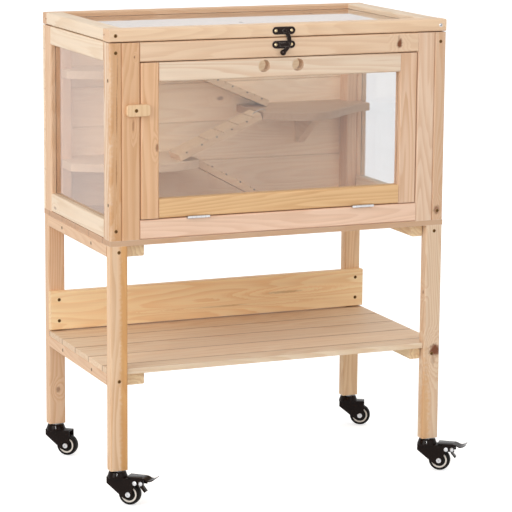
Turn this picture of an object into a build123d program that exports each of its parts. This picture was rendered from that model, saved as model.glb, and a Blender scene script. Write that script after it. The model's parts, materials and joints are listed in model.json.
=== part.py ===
from build123d import *
import os
from math import atan2, cos, hypot, radians, sin, sqrt, tan

# Wooden hamster cage with a glazed lid, door and sides, on a stand with a shelf and four casters.
# +X runs to the right along the front, +Y runs to the back and +Z runs up.
# The origin is on the ground, below the middle of the wooden stand.

# ---------------------------------------------------------------- driving dimensions, mm
cage_width = 800.0
cage_depth = 460.0
stand_height = 500.0
wall_height = 427.0
caster_height = 76.0

# Round-edged timber that every frame is made of
timber_width = 42.0
timber_thick = 27.0
edge_round = 4.0
groove_width = 4.0
groove_depth = 9.0
groove_play = 1.0
tenon_play = 0.1

# Tongued and grooved boards
board_thick = 12.0
board_pitch = 93.0
tongue_length = 5.0
tongue_thick = 4.0
tongue_play = 0.2
board_vee = 1.8

# Stand
leg_width = 40.0
shelf_height = 226.0
shelf_setback = 6.0
leg_notch_play = 1.0
left_cleat_width = 42.0
right_cleat_width = 27.0
cleat_setback = 18.0
back_board_thick = 18.0
back_board_height = 90.0
back_board_lift = 4.0
back_board_screw_rise = (21.0, 71.0)
floor_first_board = 51.0
shelf_first_board = 49.0

# Panes
pane_thick = 3.0
vent_radius = 4.5
vents = ((-243.0, 86.0), (-19.0, -36.0), (220.0, 116.0))

# Door
door_side_gap = 1.5
door_top_gap = 2.0
finger_hole_radius = 14.0
finger_hole_spacing = 80.5
finger_hole_shift = -3.0

# Lid
lid_rear_rail = 27.0

# Butt hinges of the door and the lid, with their leaves in the gap between the two edges
hinge_gap = 2.0
hinge_length = 52.0
leaf_thick = 0.85
leaf_reach = 11.5
knuckle_radius = 3.2
knuckle_count = 5
knuckle_gap = 0.3
hinge_pin_radius = 1.5
hinge_pin_play = 0.1
barrel_clearance = 0.3
door_hinge_x = 197.5
lid_hinge_x = 250.0

# Turn button on the left stile
button_length = 53.0
button_height = 26.0
button_thick = 9.0
button_corner = 7.0
button_pivot_inset = 21.0
button_setback = 57.0
button_rise = 282.0
button_clearance = 0.5
button_bore_play = 0.3
button_screw_length = 27.0

# Swing latch
latch_plate_length = 54.0
latch_plate_height = 17.0
latch_plate_thick = 1.5
latch_x = 2.0
latch_clearance = 0.3
latch_arm_width = 9.0
latch_arm_thick = 2.2
latch_arm_bow = 12.5
latch_bow_drop = 22.0
latch_lip_reach = 11.0
latch_catch_drop = 15.0
latch_knob_radius = 6.5
latch_rivet_radius = 2.2
latch_rivet_head_radius = 4.4
latch_rivet_play = 0.1

# Countersunk wood screws
screw_radius = 2.0
screw_head_radius = 4.0
screw_length = 45.0
stile_screw_rise = (77.0, 346.0)
board_screw_length = 38.0
screw_tip_play = 1.0
screw_hole_play = 0.15
screw_head_sink = 0.3
countersink_angle = 82.0

# Platforms
platform_thick = 18.0
lower_platform_rise = 120.0
right_platform_rise = 224.0
upper_platform_rise = 329.0
lower_platform_end = -78.0
upper_platform_end = -116.0
right_platform_end = 76.0
right_platform_play = 1.0
lower_platform_depth = 189.0
upper_platform_depth = 148.0
right_platform_depth = 212.0
# Bows of the platforms' fronts, as shares of the run and of the depth cut back
lower_platform_bows = ((0.0, 0.21), (0.10, 0.095), (0.25, 0.0), (0.79, 0.21), (1.0, 0.42))
upper_platform_bows = ((0.0, 0.08), (0.29, 0.0), (0.72, 0.18), (1.0, 0.43))
right_platform_bows = ((0.0, 0.23), (0.19, 0.085), (0.35, 0.0), (0.65, 0.24), (1.0, 0.59))
bracket_x = 237.0
bracket_thick = 18.0
bracket_reach = 106.0
bracket_height = 79.0
bracket_nose = 14.0

# Ramps
ramp_thick = 16.0
ramp_width = 68.0
kerf_pitch = 40.5
kerf_width = 2.5
kerf_depth = 3.0
upper_ramp_setback = 0.0
middle_ramp_setback = 93.0
lower_ramp_setback = 75.0
upper_ramp_foot_x = 126.0
middle_ramp_foot_x = -126.5
lower_ramp_foot_x = 110.0

# Casters
wheel_radius = 25.0
wheel_width = 20.0
wheel_bore_play = 0.15
hub_radius = 15.0
hub_recess = 3.0
hub_boss_radius = 7.5
hub_draft = 1.0
tread_crown = 4.0
axle_offset = 30.0
axle_bolt_radius = 3.0
axle_bolt_play = 0.15
axle_head_radius = 6.0
axle_head_height = 3.0
axle_head_chamfer = 1.2
cheek_thick = 2.0
cheek_gap = 1.5
fork_top = 61.0
fork_reach = 66.0
fork_nose = 14.0
fork_lobe = 10.0
fork_lobe_round = 9.0
fork_throat = 6.0
bearing_radius = 23.0
bearing_top = 72.0
bearing_taper = 20.0
plate_overhang = 2.0
stem_radius = 5.0
stem_play = 0.15
stem_depth = 34.0
stem_head_radius = 8.0
stem_head_height = 4.0
nut_flats = 16.0
caster_clearance = 0.3
pedal_thick = 2.0
pedal_lift = 2.5
pedal_dip = 4.5
pedal_rise = 1.5
pedal_bend = 4.0
pedal_lug = 27.0
pedal_lug_back = 9.0
tongue_x = 57.0
tongue_sheet = 1.6
tongue_drop = 20.0
tongue_kick = 11.0
pedal_start = 26.0
pedal_tip = 92.0
pedal_pivot_x = 47.0
pedal_pivot_z = 53.0
pedal_pin_radius = 2.5
pedal_pin_play = 0.15
pedal_rivet_radius = 5.0
pedal_rivet_height = 2.0
# The way each fork trails, in degrees clockwise from +X: front left, front right, rear left, rear right
trail_front_left = 42.0
trail_front_right = 37.0
trail_rear_left = 43.0
trail_rear_right = 28.0

# ---------------------------------------------------------------- planes of the whole cage
left = -cage_width / 2
right = cage_width / 2
button_pivot_x = left + button_setback
front = -cage_depth / 2
back = cage_depth / 2
wall_front = back - board_thick
leg_bottom = caster_height
floor_bottom = leg_bottom + stand_height
floor_top = floor_bottom + board_thick
frame_top = floor_top + wall_height
lid_bottom = frame_top + hinge_gap
lid_middle = lid_bottom + timber_thick / 2
shelf_top = leg_bottom + shelf_height
shelf_bottom = shelf_top - board_thick
tenon = groove_depth - groove_play
half_width = timber_width / 2
half_thick = timber_thick / 2
front_middle = front + half_thick

# Mouth of a countersink that lets the head lie below the face
countersink_slope = tan(radians(countersink_angle / 2))
countersink_mouth = screw_head_radius + screw_head_sink * countersink_slope

os.makedirs("parts", exist_ok=True)
screws = []


def save(label, shape):
    """Name a finished piece and write it."""
    shape.label = label
    export_step(shape, f"parts/{label}.step")


def join(pieces):
    """Several separate solids that share one node."""
    return Compound(children=list(pieces))


def outward(x, y, z, direction):
    """A plane on a face, for a screw that goes in against the direction given."""
    return Plane(origin=(x, y, z), z_dir=direction)


def screw_hole(places, depth=screw_length):
    """Countersunk holes in the piece being built."""
    with Locations(*places):
        CounterSinkHole(
            radius=screw_radius + screw_hole_play,
            counter_sink_radius=countersink_mouth + screw_hole_play,
            depth=depth,
            counter_sink_angle=countersink_angle,
        )


def screw_bore(places, depth):
    """Plain bores in the piece being built, for screws that come through another piece."""
    with Locations(*places):
        Hole(radius=screw_radius + screw_hole_play, depth=depth)


# ---------------------------------------------------------------- timbers
def timber(
    start,
    run,
    inward,
    length,
    width=timber_width,
    tenon_length=0.0,
    grooved=True,
    holes=(),
    bores=(),
    bore_depth=0.0,
):
    """Round-edged timber with a groove along its inward edge and, on rails, a tenon at each end."""
    section = Plane(origin=start, x_dir=inward, z_dir=run)
    with BuildPart() as piece:
        with BuildSketch(section):
            RectangleRounded(width, timber_thick, edge_round)
            if grooved:
                with Locations((width / 2, 0)):
                    Rectangle(2 * groove_depth, groove_width, mode=Mode.SUBTRACT)
        extrude(amount=length)
        if tenon_length:
            with BuildSketch(section.offset(-tenon_length)):
                with Locations(((edge_round - groove_depth) / 2, 0)):
                    Rectangle(width - edge_round - groove_depth, groove_width - 2 * tenon_play)
            extrude(amount=length + 2 * tenon_length)
        if holes:
            screw_hole(holes)
        if bores:
            screw_bore(bores, bore_depth)
    return piece.part


# ---------------------------------------------------------------- stand
leg_x = right - leg_width / 2
leg_y = back - half_thick
back_board_bottom = shelf_top + back_board_lift
back_board_face = back - timber_thick - back_board_thick
back_board_screw_z = [back_board_bottom + rise for rise in back_board_screw_rise]
upper_rail_z = floor_bottom - half_thick
lower_rail_z = shelf_bottom - half_thick


def stand_leg(x_side, y_side):
    """A leg with two screws through its outer face and a bore for the caster's stem."""
    face_y = y_side * back
    holes = [outward(x_side * leg_x, face_y, z, (0, y_side, 0)) for z in (upper_rail_z, lower_rail_z)]
    with BuildPart() as leg:
        with BuildSketch(Plane.XY.offset(leg_bottom)):
            with Locations((x_side * leg_x, y_side * leg_y)):
                RectangleRounded(leg_width, timber_thick, edge_round)
        extrude(amount=stand_height)
        screw_hole(holes, depth=timber_thick)
        if y_side > 0:
            # The rear legs also take the screws of the board behind the shelf
            leg_face = leg_y - half_thick
            bores = [outward(x_side * leg_x, leg_face, z, (0, -1, 0)) for z in back_board_screw_z]
            screw_bore(bores, board_screw_length - back_board_thick)
        with BuildSketch(Plane.XY.offset(leg_bottom)):
            with Locations((x_side * leg_x, y_side * leg_y)):
                Circle(stem_radius + stem_play)
        extrude(amount=stem_depth + groove_play, mode=Mode.SUBTRACT)
    screws.extend(holes)
    return leg.part


for name, x_side, y_side in (
    ("leg_front_left", -1, -1),
    ("leg_front_right", 1, -1),
    ("leg_rear_left", -1, 1),
    ("leg_rear_right", 1, 1),
):
    save(name, stand_leg(x_side, y_side))

rail_length = cage_depth - 2 * timber_thick
rail_screw_y = rail_length / 4


def stand_rail(x_side, level):
    """A rail that lies between the front and rear legs, flush with their outer faces."""
    start = (x_side * (right - half_width), front + timber_thick, level)
    holes = [outward(x_side * right, y, level, (x_side, 0, 0)) for y in (-rail_screw_y, rail_screw_y)]
    end_bores = [
        outward(x_side * leg_x, side * rail_length / 2, level, (0, side, 0)) for side in (-1, 1)
    ]
    with BuildPart() as rail:
        with BuildSketch(Plane(origin=start, x_dir=(1, 0, 0), z_dir=(0, 1, 0))):
            RectangleRounded(timber_width, timber_thick, edge_round)
        extrude(amount=rail_length)
        screw_hole(holes)
        screw_bore(end_bores, screw_length - timber_thick)
    screws.extend(holes)
    return rail.part


stand_rails = [stand_rail(side, level) for side in (-1, 1) for level in (upper_rail_z, lower_rail_z)]
save("stand_side_rails", join(stand_rails))


def cleat(x_side, width, level):
    """A batten beside the rail, which carries the middle of the boards."""
    x = x_side * (right - timber_width - width / 2)
    with BuildPart() as batten:
        with BuildSketch(Plane(origin=(x, front + cleat_setback, level), x_dir=(1, 0, 0), z_dir=(0, 1, 0))):
            RectangleRounded(width, timber_thick, edge_round)
        extrude(amount=cage_depth - 2 * cleat_setback)
        # Bores that take the ends of the screws through the rail
        rail_face = x + x_side * width / 2
        bores = [outward(rail_face, y, level, (x_side, 0, 0)) for y in (-rail_screw_y, rail_screw_y)]
        screw_bore(bores, screw_length - timber_width)
    return batten.part


save(
    "board_cleats",
    join(
        [cleat(-1, left_cleat_width, level) for level in (upper_rail_z, lower_rail_z)]
        + [cleat(1, right_cleat_width, level) for level in (upper_rail_z, lower_rail_z)]
    ),
)


def tongued_boards(edge, start, end, first, run_start, run_length):
    """A row of tongued and grooved boards from start to end, with the first board's width given.

    The edge plane looks along the boards, with its x along the row and its y through the boards.
    """
    joints = [start + first]
    while joints[-1] + board_pitch < end:
        joints.append(joints[-1] + board_pitch)
    edges = [start] + joints + [end]
    groove = 2 * (tongue_length + tongue_play)
    vee = sqrt(2) * board_vee
    rows = []
    for low, high in zip(edges[:-1], edges[1:]):
        with BuildPart() as board:
            with BuildSketch(edge.offset(run_start)):
                with Locations(((low + high) / 2, board_thick / 2)):
                    Rectangle(high - low, board_thick)
                if low > start:
                    with Locations((low, board_thick / 2)):
                        Rectangle(groove, tongue_thick + 2 * tongue_play, mode=Mode.SUBTRACT)
                if high < end:
                    with Locations((high, board_thick / 2)):
                        Rectangle(2 * tongue_length, tongue_thick)
                # Small V along each seam of the face that shows
                with Locations(*[(seam, board_thick) for seam in (low, high) if start < seam < end]):
                    Rectangle(vee, vee, rotation=45, mode=Mode.SUBTRACT)
            extrude(amount=run_length)
        rows.append(board.part)
    return rows


# Sections across the boards of the floor and the shelf, and across those of the back wall
floor_edge = Plane(origin=(0, 0, floor_bottom), x_dir=(0, 1, 0), z_dir=(1, 0, 0))
shelf_edge = Plane(origin=(0, 0, shelf_bottom), x_dir=(0, 1, 0), z_dir=(1, 0, 0))
wall_edge = Plane(origin=(0, back, 0), x_dir=(0, 0, 1), z_dir=(1, 0, 0))

floor_rows = tongued_boards(floor_edge, front, back, floor_first_board, left, cage_width)
save("floor_boards", join(floor_rows))

wall_rows = tongued_boards(wall_edge, floor_top, frame_top, board_pitch, left, cage_width)
save("back_wall_boards", join(wall_rows))

shelf_rows = tongued_boards(
    shelf_edge, front + shelf_setback, back - shelf_setback, shelf_first_board, left, cage_width
)


def notched(board):
    """A shelf board with its corners cut out round the legs."""
    with BuildPart() as cut_board:
        add(board)
        with Locations((0, 0, shelf_bottom)):
            with GridLocations(2 * leg_x, 2 * leg_y, 2, 2):
                Box(
                    leg_width + 2 * leg_notch_play,
                    timber_thick + 2 * leg_notch_play,
                    board_thick,
                    align=(Align.CENTER, Align.CENTER, Align.MIN),
                    mode=Mode.SUBTRACT,
                )
    return cut_board.part


shelf_rows[0] = notched(shelf_rows[0])
shelf_rows[-1] = notched(shelf_rows[-1])
save("shelf_boards", join(shelf_rows))

# Board that stands on edge behind the shelf, screwed to the rear legs
back_board_screws = [
    outward(side * leg_x, back_board_face, z, (0, -1, 0)) for side in (-1, 1) for z in back_board_screw_z
]
with BuildPart() as shelf_back_board:
    with BuildSketch(Plane.XY.offset(back_board_bottom)):
        with Locations((0, back_board_face + back_board_thick / 2)):
            Rectangle(cage_width, back_board_thick)
    extrude(amount=back_board_height)
    fillet(shelf_back_board.edges().filter_by(Axis.X).group_by(Axis.Y)[0], radius=edge_round / 2)
    screw_hole(back_board_screws, depth=back_board_thick)
save("shelf_back_board", shelf_back_board.part)

# ---------------------------------------------------------------- side frames
side_middle = right - half_thick
post_y = front + half_width
rear_post_y = wall_front - half_width
opening_front = front + timber_width
opening_back = wall_front - timber_width
side_opening = opening_back - opening_front
bottom_rail_z = floor_top + half_width
top_rail_z = frame_top - half_width

for side_name, side in (("left", -1), ("right", 1)):
    # Two screws go into the rails from the front, and two go through the post into the front frame
    rail_holes = [outward(side * side_middle, front, z, (0, -1, 0)) for z in (bottom_rail_z, top_rail_z)]
    stile_holes = [
        outward(side * right, front_middle, floor_top + rise, (side, 0, 0)) for rise in stile_screw_rise
    ]
    front_post = timber(
        (side * side_middle, post_y, floor_top),
        (0, 0, 1),
        (0, 1, 0),
        wall_height,
        holes=rail_holes + stile_holes,
    )
    screws.extend(rail_holes + stile_holes)
    rear_post = timber((side * side_middle, rear_post_y, floor_top), (0, 0, 1), (0, -1, 0), wall_height)
    save(f"post_front_{side_name}", front_post)
    save(f"post_rear_{side_name}", rear_post)

side_rails = []
for side in (-1, 1):
    for level, inward in ((bottom_rail_z, (0, 0, 1)), (top_rail_z, (0, 0, -1))):
        rail = timber(
            (side * side_middle, opening_front, level),
            (0, 1, 0),
            inward,
            side_opening,
            tenon_length=tenon,
            bores=[outward(side * side_middle, opening_front - tenon, level, (0, -1, 0))],
            bore_depth=screw_length - timber_width + tenon,
        )
        side_rails.append(rail)
save("side_frame_rails", join(side_rails))

# The panes stand on the bottom of the lower groove
pane_bottom = floor_top + timber_width - groove_depth
pane_height = wall_height - 2 * (timber_width - groove_depth) - groove_play
for side_name, side in (("left", -1), ("right", 1)):
    with BuildPart() as side_pane:
        with Locations((side * side_middle, (opening_front + opening_back) / 2, pane_bottom)):
            Box(
                pane_thick,
                side_opening + 2 * tenon,
                pane_height,
                align=(Align.CENTER, Align.CENTER, Align.MIN),
            )
    save(f"side_pane_{side_name}", side_pane.part)

# ---------------------------------------------------------------- front frame
frame_half = right - timber_thick
stile_x = frame_half - half_width
front_opening = 2 * (frame_half - timber_width)
button_z = floor_top + button_rise
for side_name, side in (("left", -1), ("right", 1)):
    # The screws through the post end in the stile, and the turn button's screw in the left one
    post_bores = [
        outward(side * frame_half, front_middle, floor_top + rise, (side, 0, 0)) for rise in stile_screw_rise
    ]
    button_bores = [outward(button_pivot_x, front, button_z, (0, -1, 0))] if side < 0 else []
    front_stile = timber(
        (side * stile_x, front_middle, floor_top),
        (0, 0, 1),
        (-side, 0, 0),
        wall_height,
        grooved=False,
        bores=post_bores + button_bores,
        bore_depth=screw_length - timber_thick,
    )
    save(f"front_stile_{side_name}", front_stile)

for name, level in (("front_bottom_rail", bottom_rail_z), ("front_top_rail", top_rail_z)):
    front_rail = timber(
        (-front_opening / 2, front_middle, level),
        (1, 0, 0),
        (0, 0, 1),
        front_opening,
        grooved=False,
    )
    save(name, front_rail)

# Battens in the rear corners, which the back wall is screwed to
rear_battens = [
    timber(
        (side * (frame_half - half_thick), rear_post_y, floor_top),
        (0, 0, 1),
        (0, -1, 0),
        wall_height,
        grooved=False,
    )
    for side in (-1, 1)
]
save("rear_battens", join(rear_battens))

# ---------------------------------------------------------------- door
door_half = front_opening / 2 - door_side_gap
door_bottom = floor_top + timber_width + hinge_gap
door_top = frame_top - timber_width - door_top_gap
door_height = door_top - door_bottom
door_opening = 2 * (door_half - timber_width)

for side_name, side in (("left", -1), ("right", 1)):
    door_stile = timber(
        (side * (door_half - half_width), front_middle, door_bottom),
        (0, 0, 1),
        (-side, 0, 0),
        door_height,
    )
    save(f"door_stile_{side_name}", door_stile)

door_rail_start = (-door_opening / 2, front_middle)
door_bottom_rail = timber(
    (*door_rail_start, door_bottom + half_width), (1, 0, 0), (0, 0, 1), door_opening, tenon_length=tenon
)
save("door_bottom_rail", door_bottom_rail)

door_top_timber = timber(
    (*door_rail_start, door_top - half_width), (1, 0, 0), (0, 0, -1), door_opening, tenon_length=tenon
)
finger_hole_z = door_top - half_width + groove_depth / 2
finger_hole_face = Plane(origin=(finger_hole_shift, front, finger_hole_z), x_dir=(1, 0, 0), z_dir=(0, -1, 0))
with BuildPart() as door_top_rail:
    add(door_top_timber)
    with Locations(finger_hole_face):
        with GridLocations(finger_hole_spacing, 1, 2, 1):
            Hole(radius=finger_hole_radius, depth=timber_thick)
save("door_top_rail", door_top_rail.part)

with BuildPart() as door_pane:
    with Locations((0, front_middle, door_bottom + timber_width - groove_depth)):
        Box(
            door_opening + 2 * tenon,
            pane_thick,
            door_height - 2 * (timber_width - groove_depth) - groove_play,
            align=(Align.CENTER, Align.CENTER, Align.MIN),
        )
save("door_pane", door_pane.part)

# ---------------------------------------------------------------- lid
lid_rear_y = back - lid_rear_rail / 2
lid_front_y = front + half_width
lid_screw_x = right - half_thick
lid_front_screws = [outward(side * lid_screw_x, front, lid_middle, (0, -1, 0)) for side in (-1, 1)]
lid_rear_screws = [outward(side * lid_screw_x, back, lid_middle, (0, 1, 0)) for side in (-1, 1)]
lid_screws = lid_front_screws + lid_rear_screws

save(
    "lid_front_rail",
    timber((left, lid_front_y, lid_middle), (1, 0, 0), (0, 1, 0), cage_width, holes=lid_front_screws),
)
save(
    "lid_rear_rail",
    timber(
        (left, lid_rear_y, lid_middle),
        (1, 0, 0),
        (0, -1, 0),
        cage_width,
        width=lid_rear_rail,
        holes=lid_rear_screws,
    ),
)

lid_side_length = cage_depth - timber_width - lid_rear_rail
for side_name, side in (("left", -1), ("right", 1)):
    lid_side_rail = timber(
        (side * (right - half_width), front + timber_width, lid_middle),
        (0, 1, 0),
        (-side, 0, 0),
        lid_side_length,
        tenon_length=tenon,
    )
    # The lid's screws end in the side rails
    with BuildPart() as bored_rail:
        add(lid_side_rail)
        front_end = outward(side * lid_screw_x, front + timber_width - tenon, lid_middle, (0, -1, 0))
        rear_end = outward(side * lid_screw_x, back - lid_rear_rail + tenon, lid_middle, (0, 1, 0))
        screw_bore([front_end], screw_length - timber_width + tenon)
        screw_bore([rear_end], screw_length - lid_rear_rail + tenon)
    save(f"lid_side_rail_{side_name}", bored_rail.part)

with BuildPart() as lid_pane:
    with Locations((0, front + timber_width + lid_side_length / 2, lid_middle)):
        Box(
            cage_width - 2 * (timber_width - tenon),
            lid_side_length + 2 * tenon,
            pane_thick,
        )
    with Locations(*[(x, y, lid_middle + pane_thick / 2) for x, y in vents]):
        Hole(radius=vent_radius, depth=pane_thick)
save("lid_pane", lid_pane.part)


# ---------------------------------------------------------------- butt hinges
def hinge_section(hinge):
    """The plane across the barrel: its x points along the leaf and its y up."""
    return Plane(origin=hinge.origin, x_dir=hinge.y_dir, z_dir=hinge.x_dir)


def hinge_leaf(hinge, knuckles, side, pinned):
    """One leaf with its knuckles. The pinned leaf also holds the pin."""
    section = hinge_section(hinge).offset(-hinge_length / 2)
    tab = knuckle_radius + 2 * barrel_clearance
    level = side * (hinge_gap - leaf_thick) / 2
    pitch = hinge_length / knuckle_count
    with BuildPart() as leaf:
        for k in knuckles:
            with BuildSketch(section.offset(k * pitch + knuckle_gap / 2)):
                Circle(knuckle_radius)
                with Locations((0, level)):
                    Rectangle(tab, leaf_thick, align=(Align.MIN, Align.CENTER))
            extrude(amount=pitch - knuckle_gap)
        with BuildSketch(section):
            with Locations((knuckle_radius + barrel_clearance, level)):
                Rectangle(leaf_reach, leaf_thick, align=(Align.MIN, Align.CENTER))
        extrude(amount=hinge_length)
        with BuildSketch(section):
            Circle(hinge_pin_radius + hinge_pin_play)
        extrude(amount=hinge_length, mode=Mode.SUBTRACT)
        if pinned:
            with BuildSketch(section):
                Circle(hinge_pin_radius)
            extrude(amount=hinge_length)
    return leaf.part


hinge_z = hinge_gap / 2
door_axis_y = front - knuckle_radius - barrel_clearance
door_axis_z = door_bottom - hinge_z
lid_axis_y = back + knuckle_radius + barrel_clearance
lid_axis_z = lid_bottom - hinge_z
door_hinges = [
    Plane(origin=(side * door_hinge_x, door_axis_y, door_axis_z), x_dir=(1, 0, 0), z_dir=(0, 0, 1))
    for side in (-1, 1)
]
lid_hinges = [
    Plane(origin=(side * lid_hinge_x, lid_axis_y, lid_axis_z), x_dir=(-1, 0, 0), z_dir=(0, 0, 1))
    for side in (-1, 1)
]
outer_knuckles = range(0, knuckle_count, 2)
inner_knuckles = range(1, knuckle_count, 2)

cage_leaves = [hinge_leaf(hinge, outer_knuckles, -1, True) for hinge in door_hinges + lid_hinges]
save("cage_hinge_leaves", join(cage_leaves))
save("door_hinge_leaves", join([hinge_leaf(hinge, inner_knuckles, 1, False) for hinge in door_hinges]))
save("lid_hinge_leaves", join([hinge_leaf(hinge, inner_knuckles, 1, False) for hinge in lid_hinges]))

# ---------------------------------------------------------------- turn button
button_back = front - button_clearance
button_face = button_back - button_thick
button_front = Plane(origin=(button_pivot_x, button_back, button_z), x_dir=(1, 0, 0), z_dir=(0, -1, 0))
with BuildPart() as turn_button:
    with BuildSketch(button_front):
        with Locations((button_length / 2 - button_pivot_inset, 0)):
            RectangleRounded(button_length, button_height, button_corner)
    extrude(amount=button_thick)
    fillet(turn_button.faces().sort_by(Axis.Y)[0].edges(), radius=edge_round / 2)
    with Locations(outward(button_pivot_x, button_face, button_z, (0, -1, 0))):
        CounterSinkHole(
            radius=screw_radius + button_bore_play,
            counter_sink_radius=countersink_mouth + button_bore_play,
            depth=button_thick,
            counter_sink_angle=countersink_angle,
        )
save("turn_button", turn_button.part)

# ---------------------------------------------------------------- swing latch
latch_plane = Plane(origin=(latch_x, front, lid_middle), x_dir=(1, 0, 0), z_dir=(0, -1, 0))
catch_z = frame_top - latch_catch_drop
catch_plane = Plane(origin=(latch_x, front, catch_z), x_dir=(1, 0, 0), z_dir=(0, -1, 0))
latch_eye = latch_plate_length / 2 - latch_plate_height / 2
arm_level = latch_plate_thick + latch_clearance

with BuildPart() as latch_plate:
    with BuildSketch(latch_plane):
        SlotOverall(latch_plate_length, latch_plate_height)
    extrude(amount=latch_plate_thick)
    # Rivet that the arm turns on, with a head that keeps it on
    with BuildSketch(latch_plane):
        Circle(latch_rivet_radius)
    extrude(amount=arm_level + latch_arm_thick + latch_clearance)
    with BuildSketch(latch_plane.offset(arm_level + latch_arm_thick + latch_clearance)):
        Circle(latch_rivet_head_radius)
    extrude(amount=latch_plate_thick)
    with Locations(latch_plane):
        with GridLocations(2 * latch_eye, 1, 2, 1):
            Hole(radius=screw_radius)
save("latch_plate", latch_plate.part)

# The arm bows out to the right, so that it clears the end of the catch when it swings
arm_drop = lid_middle - catch_z
knob_drop = arm_drop + latch_plate_height
arm_line = ThreePointArc((0, 0), (latch_arm_bow, -latch_bow_drop), (-latch_arm_width / 2, -knob_drop))
with BuildPart() as latch_hook:
    with BuildSketch(latch_plane.offset(arm_level)):
        SlotArc(arm_line, latch_arm_width)
        Circle(latch_rivet_radius + latch_rivet_play, mode=Mode.SUBTRACT)
    extrude(amount=latch_arm_thick)
    with Locations(latch_plane.offset(arm_level + latch_clearance + latch_knob_radius)):
        with Locations((-latch_arm_width / 2, -knob_drop)):
            Sphere(latch_knob_radius)
save("latch_hook", latch_hook.part)

# The catch is a plate with a raised lip that reaches over the arm's inner edge
lip_length = latch_eye / 2 + latch_lip_reach
lip_level = arm_level + latch_arm_thick + latch_clearance
with BuildPart() as latch_catch:
    with BuildSketch(catch_plane):
        SlotOverall(latch_plate_length, latch_plate_height)
    extrude(amount=latch_plate_thick)
    with BuildSketch(catch_plane):
        with Locations((-latch_eye / 2, 0)):
            RectangleRounded(latch_plate_thick * 2, latch_plate_height / 2, latch_plate_thick / 2)
    extrude(amount=lip_level + latch_plate_thick)
    with BuildSketch(catch_plane.offset(lip_level)):
        with Locations((-latch_eye / 2, 0)):
            Rectangle(lip_length, latch_plate_height / 2, align=(Align.MIN, Align.CENTER))
    extrude(amount=latch_plate_thick)
    with Locations(catch_plane):
        with GridLocations(2 * latch_eye, 1, 2, 1):
            Hole(radius=screw_radius)
save("latch_catch", latch_catch.part)


# ---------------------------------------------------------------- platforms
def platform(rise, outline, end, depth, bows):
    """A shelf board inside the cage, its top at the given height above the floor."""
    with BuildPart() as board:
        with BuildSketch(Plane.XY.offset(floor_top + rise - platform_thick)):
            with BuildLine():
                outline(end, depth, bows)
            make_face()
        extrude(amount=platform_thick)
    return board.part


batten_side = frame_half - timber_thick
pane_reach = side_middle - pane_thick / 2 - latch_clearance


def shelf_front(end, side, depth, bows):
    """Bowed front of a platform, from its ramp end to the side of the cage.

    Each bow is a share of the run and a share of the depth that is cut back there.
    """
    Spline(*[(end + (side - end) * run, wall_front - depth * (1 - cut)) for run, cut in bows])


def left_outline(end, depth, bows):
    """Notched round the left batten."""
    Polyline(
        (-frame_half, wall_front - depth * (1 - bows[-1][1])),
        (-frame_half, opening_back),
        (-batten_side, opening_back),
        (-batten_side, wall_front),
        (end, wall_front),
        (end, wall_front - depth * (1 - bows[0][1])),
    )
    shelf_front(end, -frame_half, depth, bows)


def right_outline(end, depth, bows):
    """Notched round the right batten, and reaching to the pane inside the side frame."""
    Polyline(
        (pane_reach, wall_front - depth * (1 - bows[-1][1])),
        (pane_reach, opening_back - right_platform_play),
        (batten_side, opening_back - right_platform_play),
        (batten_side, wall_front),
        (end, wall_front),
        (end, wall_front - depth * (1 - bows[0][1])),
    )
    shelf_front(end, pane_reach, depth, bows)


save(
    "platform_lower_left",
    platform(
        lower_platform_rise,
        left_outline,
        lower_platform_end,
        lower_platform_depth,
        lower_platform_bows,
    ),
)
save(
    "platform_upper_left",
    platform(
        upper_platform_rise,
        left_outline,
        upper_platform_end,
        upper_platform_depth,
        upper_platform_bows,
    ),
)
save(
    "platform_right",
    platform(
        right_platform_rise,
        right_outline,
        right_platform_end,
        right_platform_depth,
        right_platform_bows,
    ),
)

bracket_top = floor_top + right_platform_rise - platform_thick
bracket_side = Plane(origin=(bracket_x - bracket_thick / 2, 0, 0), x_dir=(0, 1, 0), z_dir=(1, 0, 0))
with BuildPart() as platform_bracket:
    with BuildSketch(bracket_side):
        with BuildLine():
            Polyline(
                (wall_front, bracket_top),
                (wall_front - bracket_reach, bracket_top),
                (wall_front - bracket_reach, bracket_top - bracket_nose),
                (wall_front - bracket_nose, bracket_top - bracket_height),
                (wall_front, bracket_top - bracket_height),
                close=True,
            )
        make_face()
    extrude(amount=bracket_thick)
save("platform_bracket", platform_bracket.part)


# ---------------------------------------------------------------- ramps
def ramp(low_x, low_z, high_x, high_z, front_y, plumb=False):
    """A board with saw kerfs for footholds, laid from its low end to its high end.

    The points are on its underside. A plumb top end lies flat against a platform's end.
    """
    length = hypot(high_x - low_x, high_z - low_z)
    rising = 1 if high_x > low_x else -1
    climb = atan2(high_z - low_z, abs(high_x - low_x))
    along = Plane(
        origin=(low_x, front_y, low_z),
        x_dir=(rising * cos(climb), 0, sin(climb)),
        z_dir=(0, -rising, 0),
    )
    top_end = length + (ramp_thick * tan(climb) if plumb else 0.0)
    count = int((length - kerf_pitch / 2) // kerf_pitch)
    with BuildPart() as board:
        with BuildSketch(along):
            with BuildLine():
                Polyline((0, 0), (length, 0), (top_end, ramp_thick), (0, ramp_thick), close=True)
            make_face()
            with Locations(*[(length - kerf_pitch * (i + 0.5), ramp_thick) for i in range(count)]):
                Rectangle(kerf_width, 2 * kerf_depth, mode=Mode.SUBTRACT)
        extrude(amount=-rising * ramp_width)
    return board.part


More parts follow.
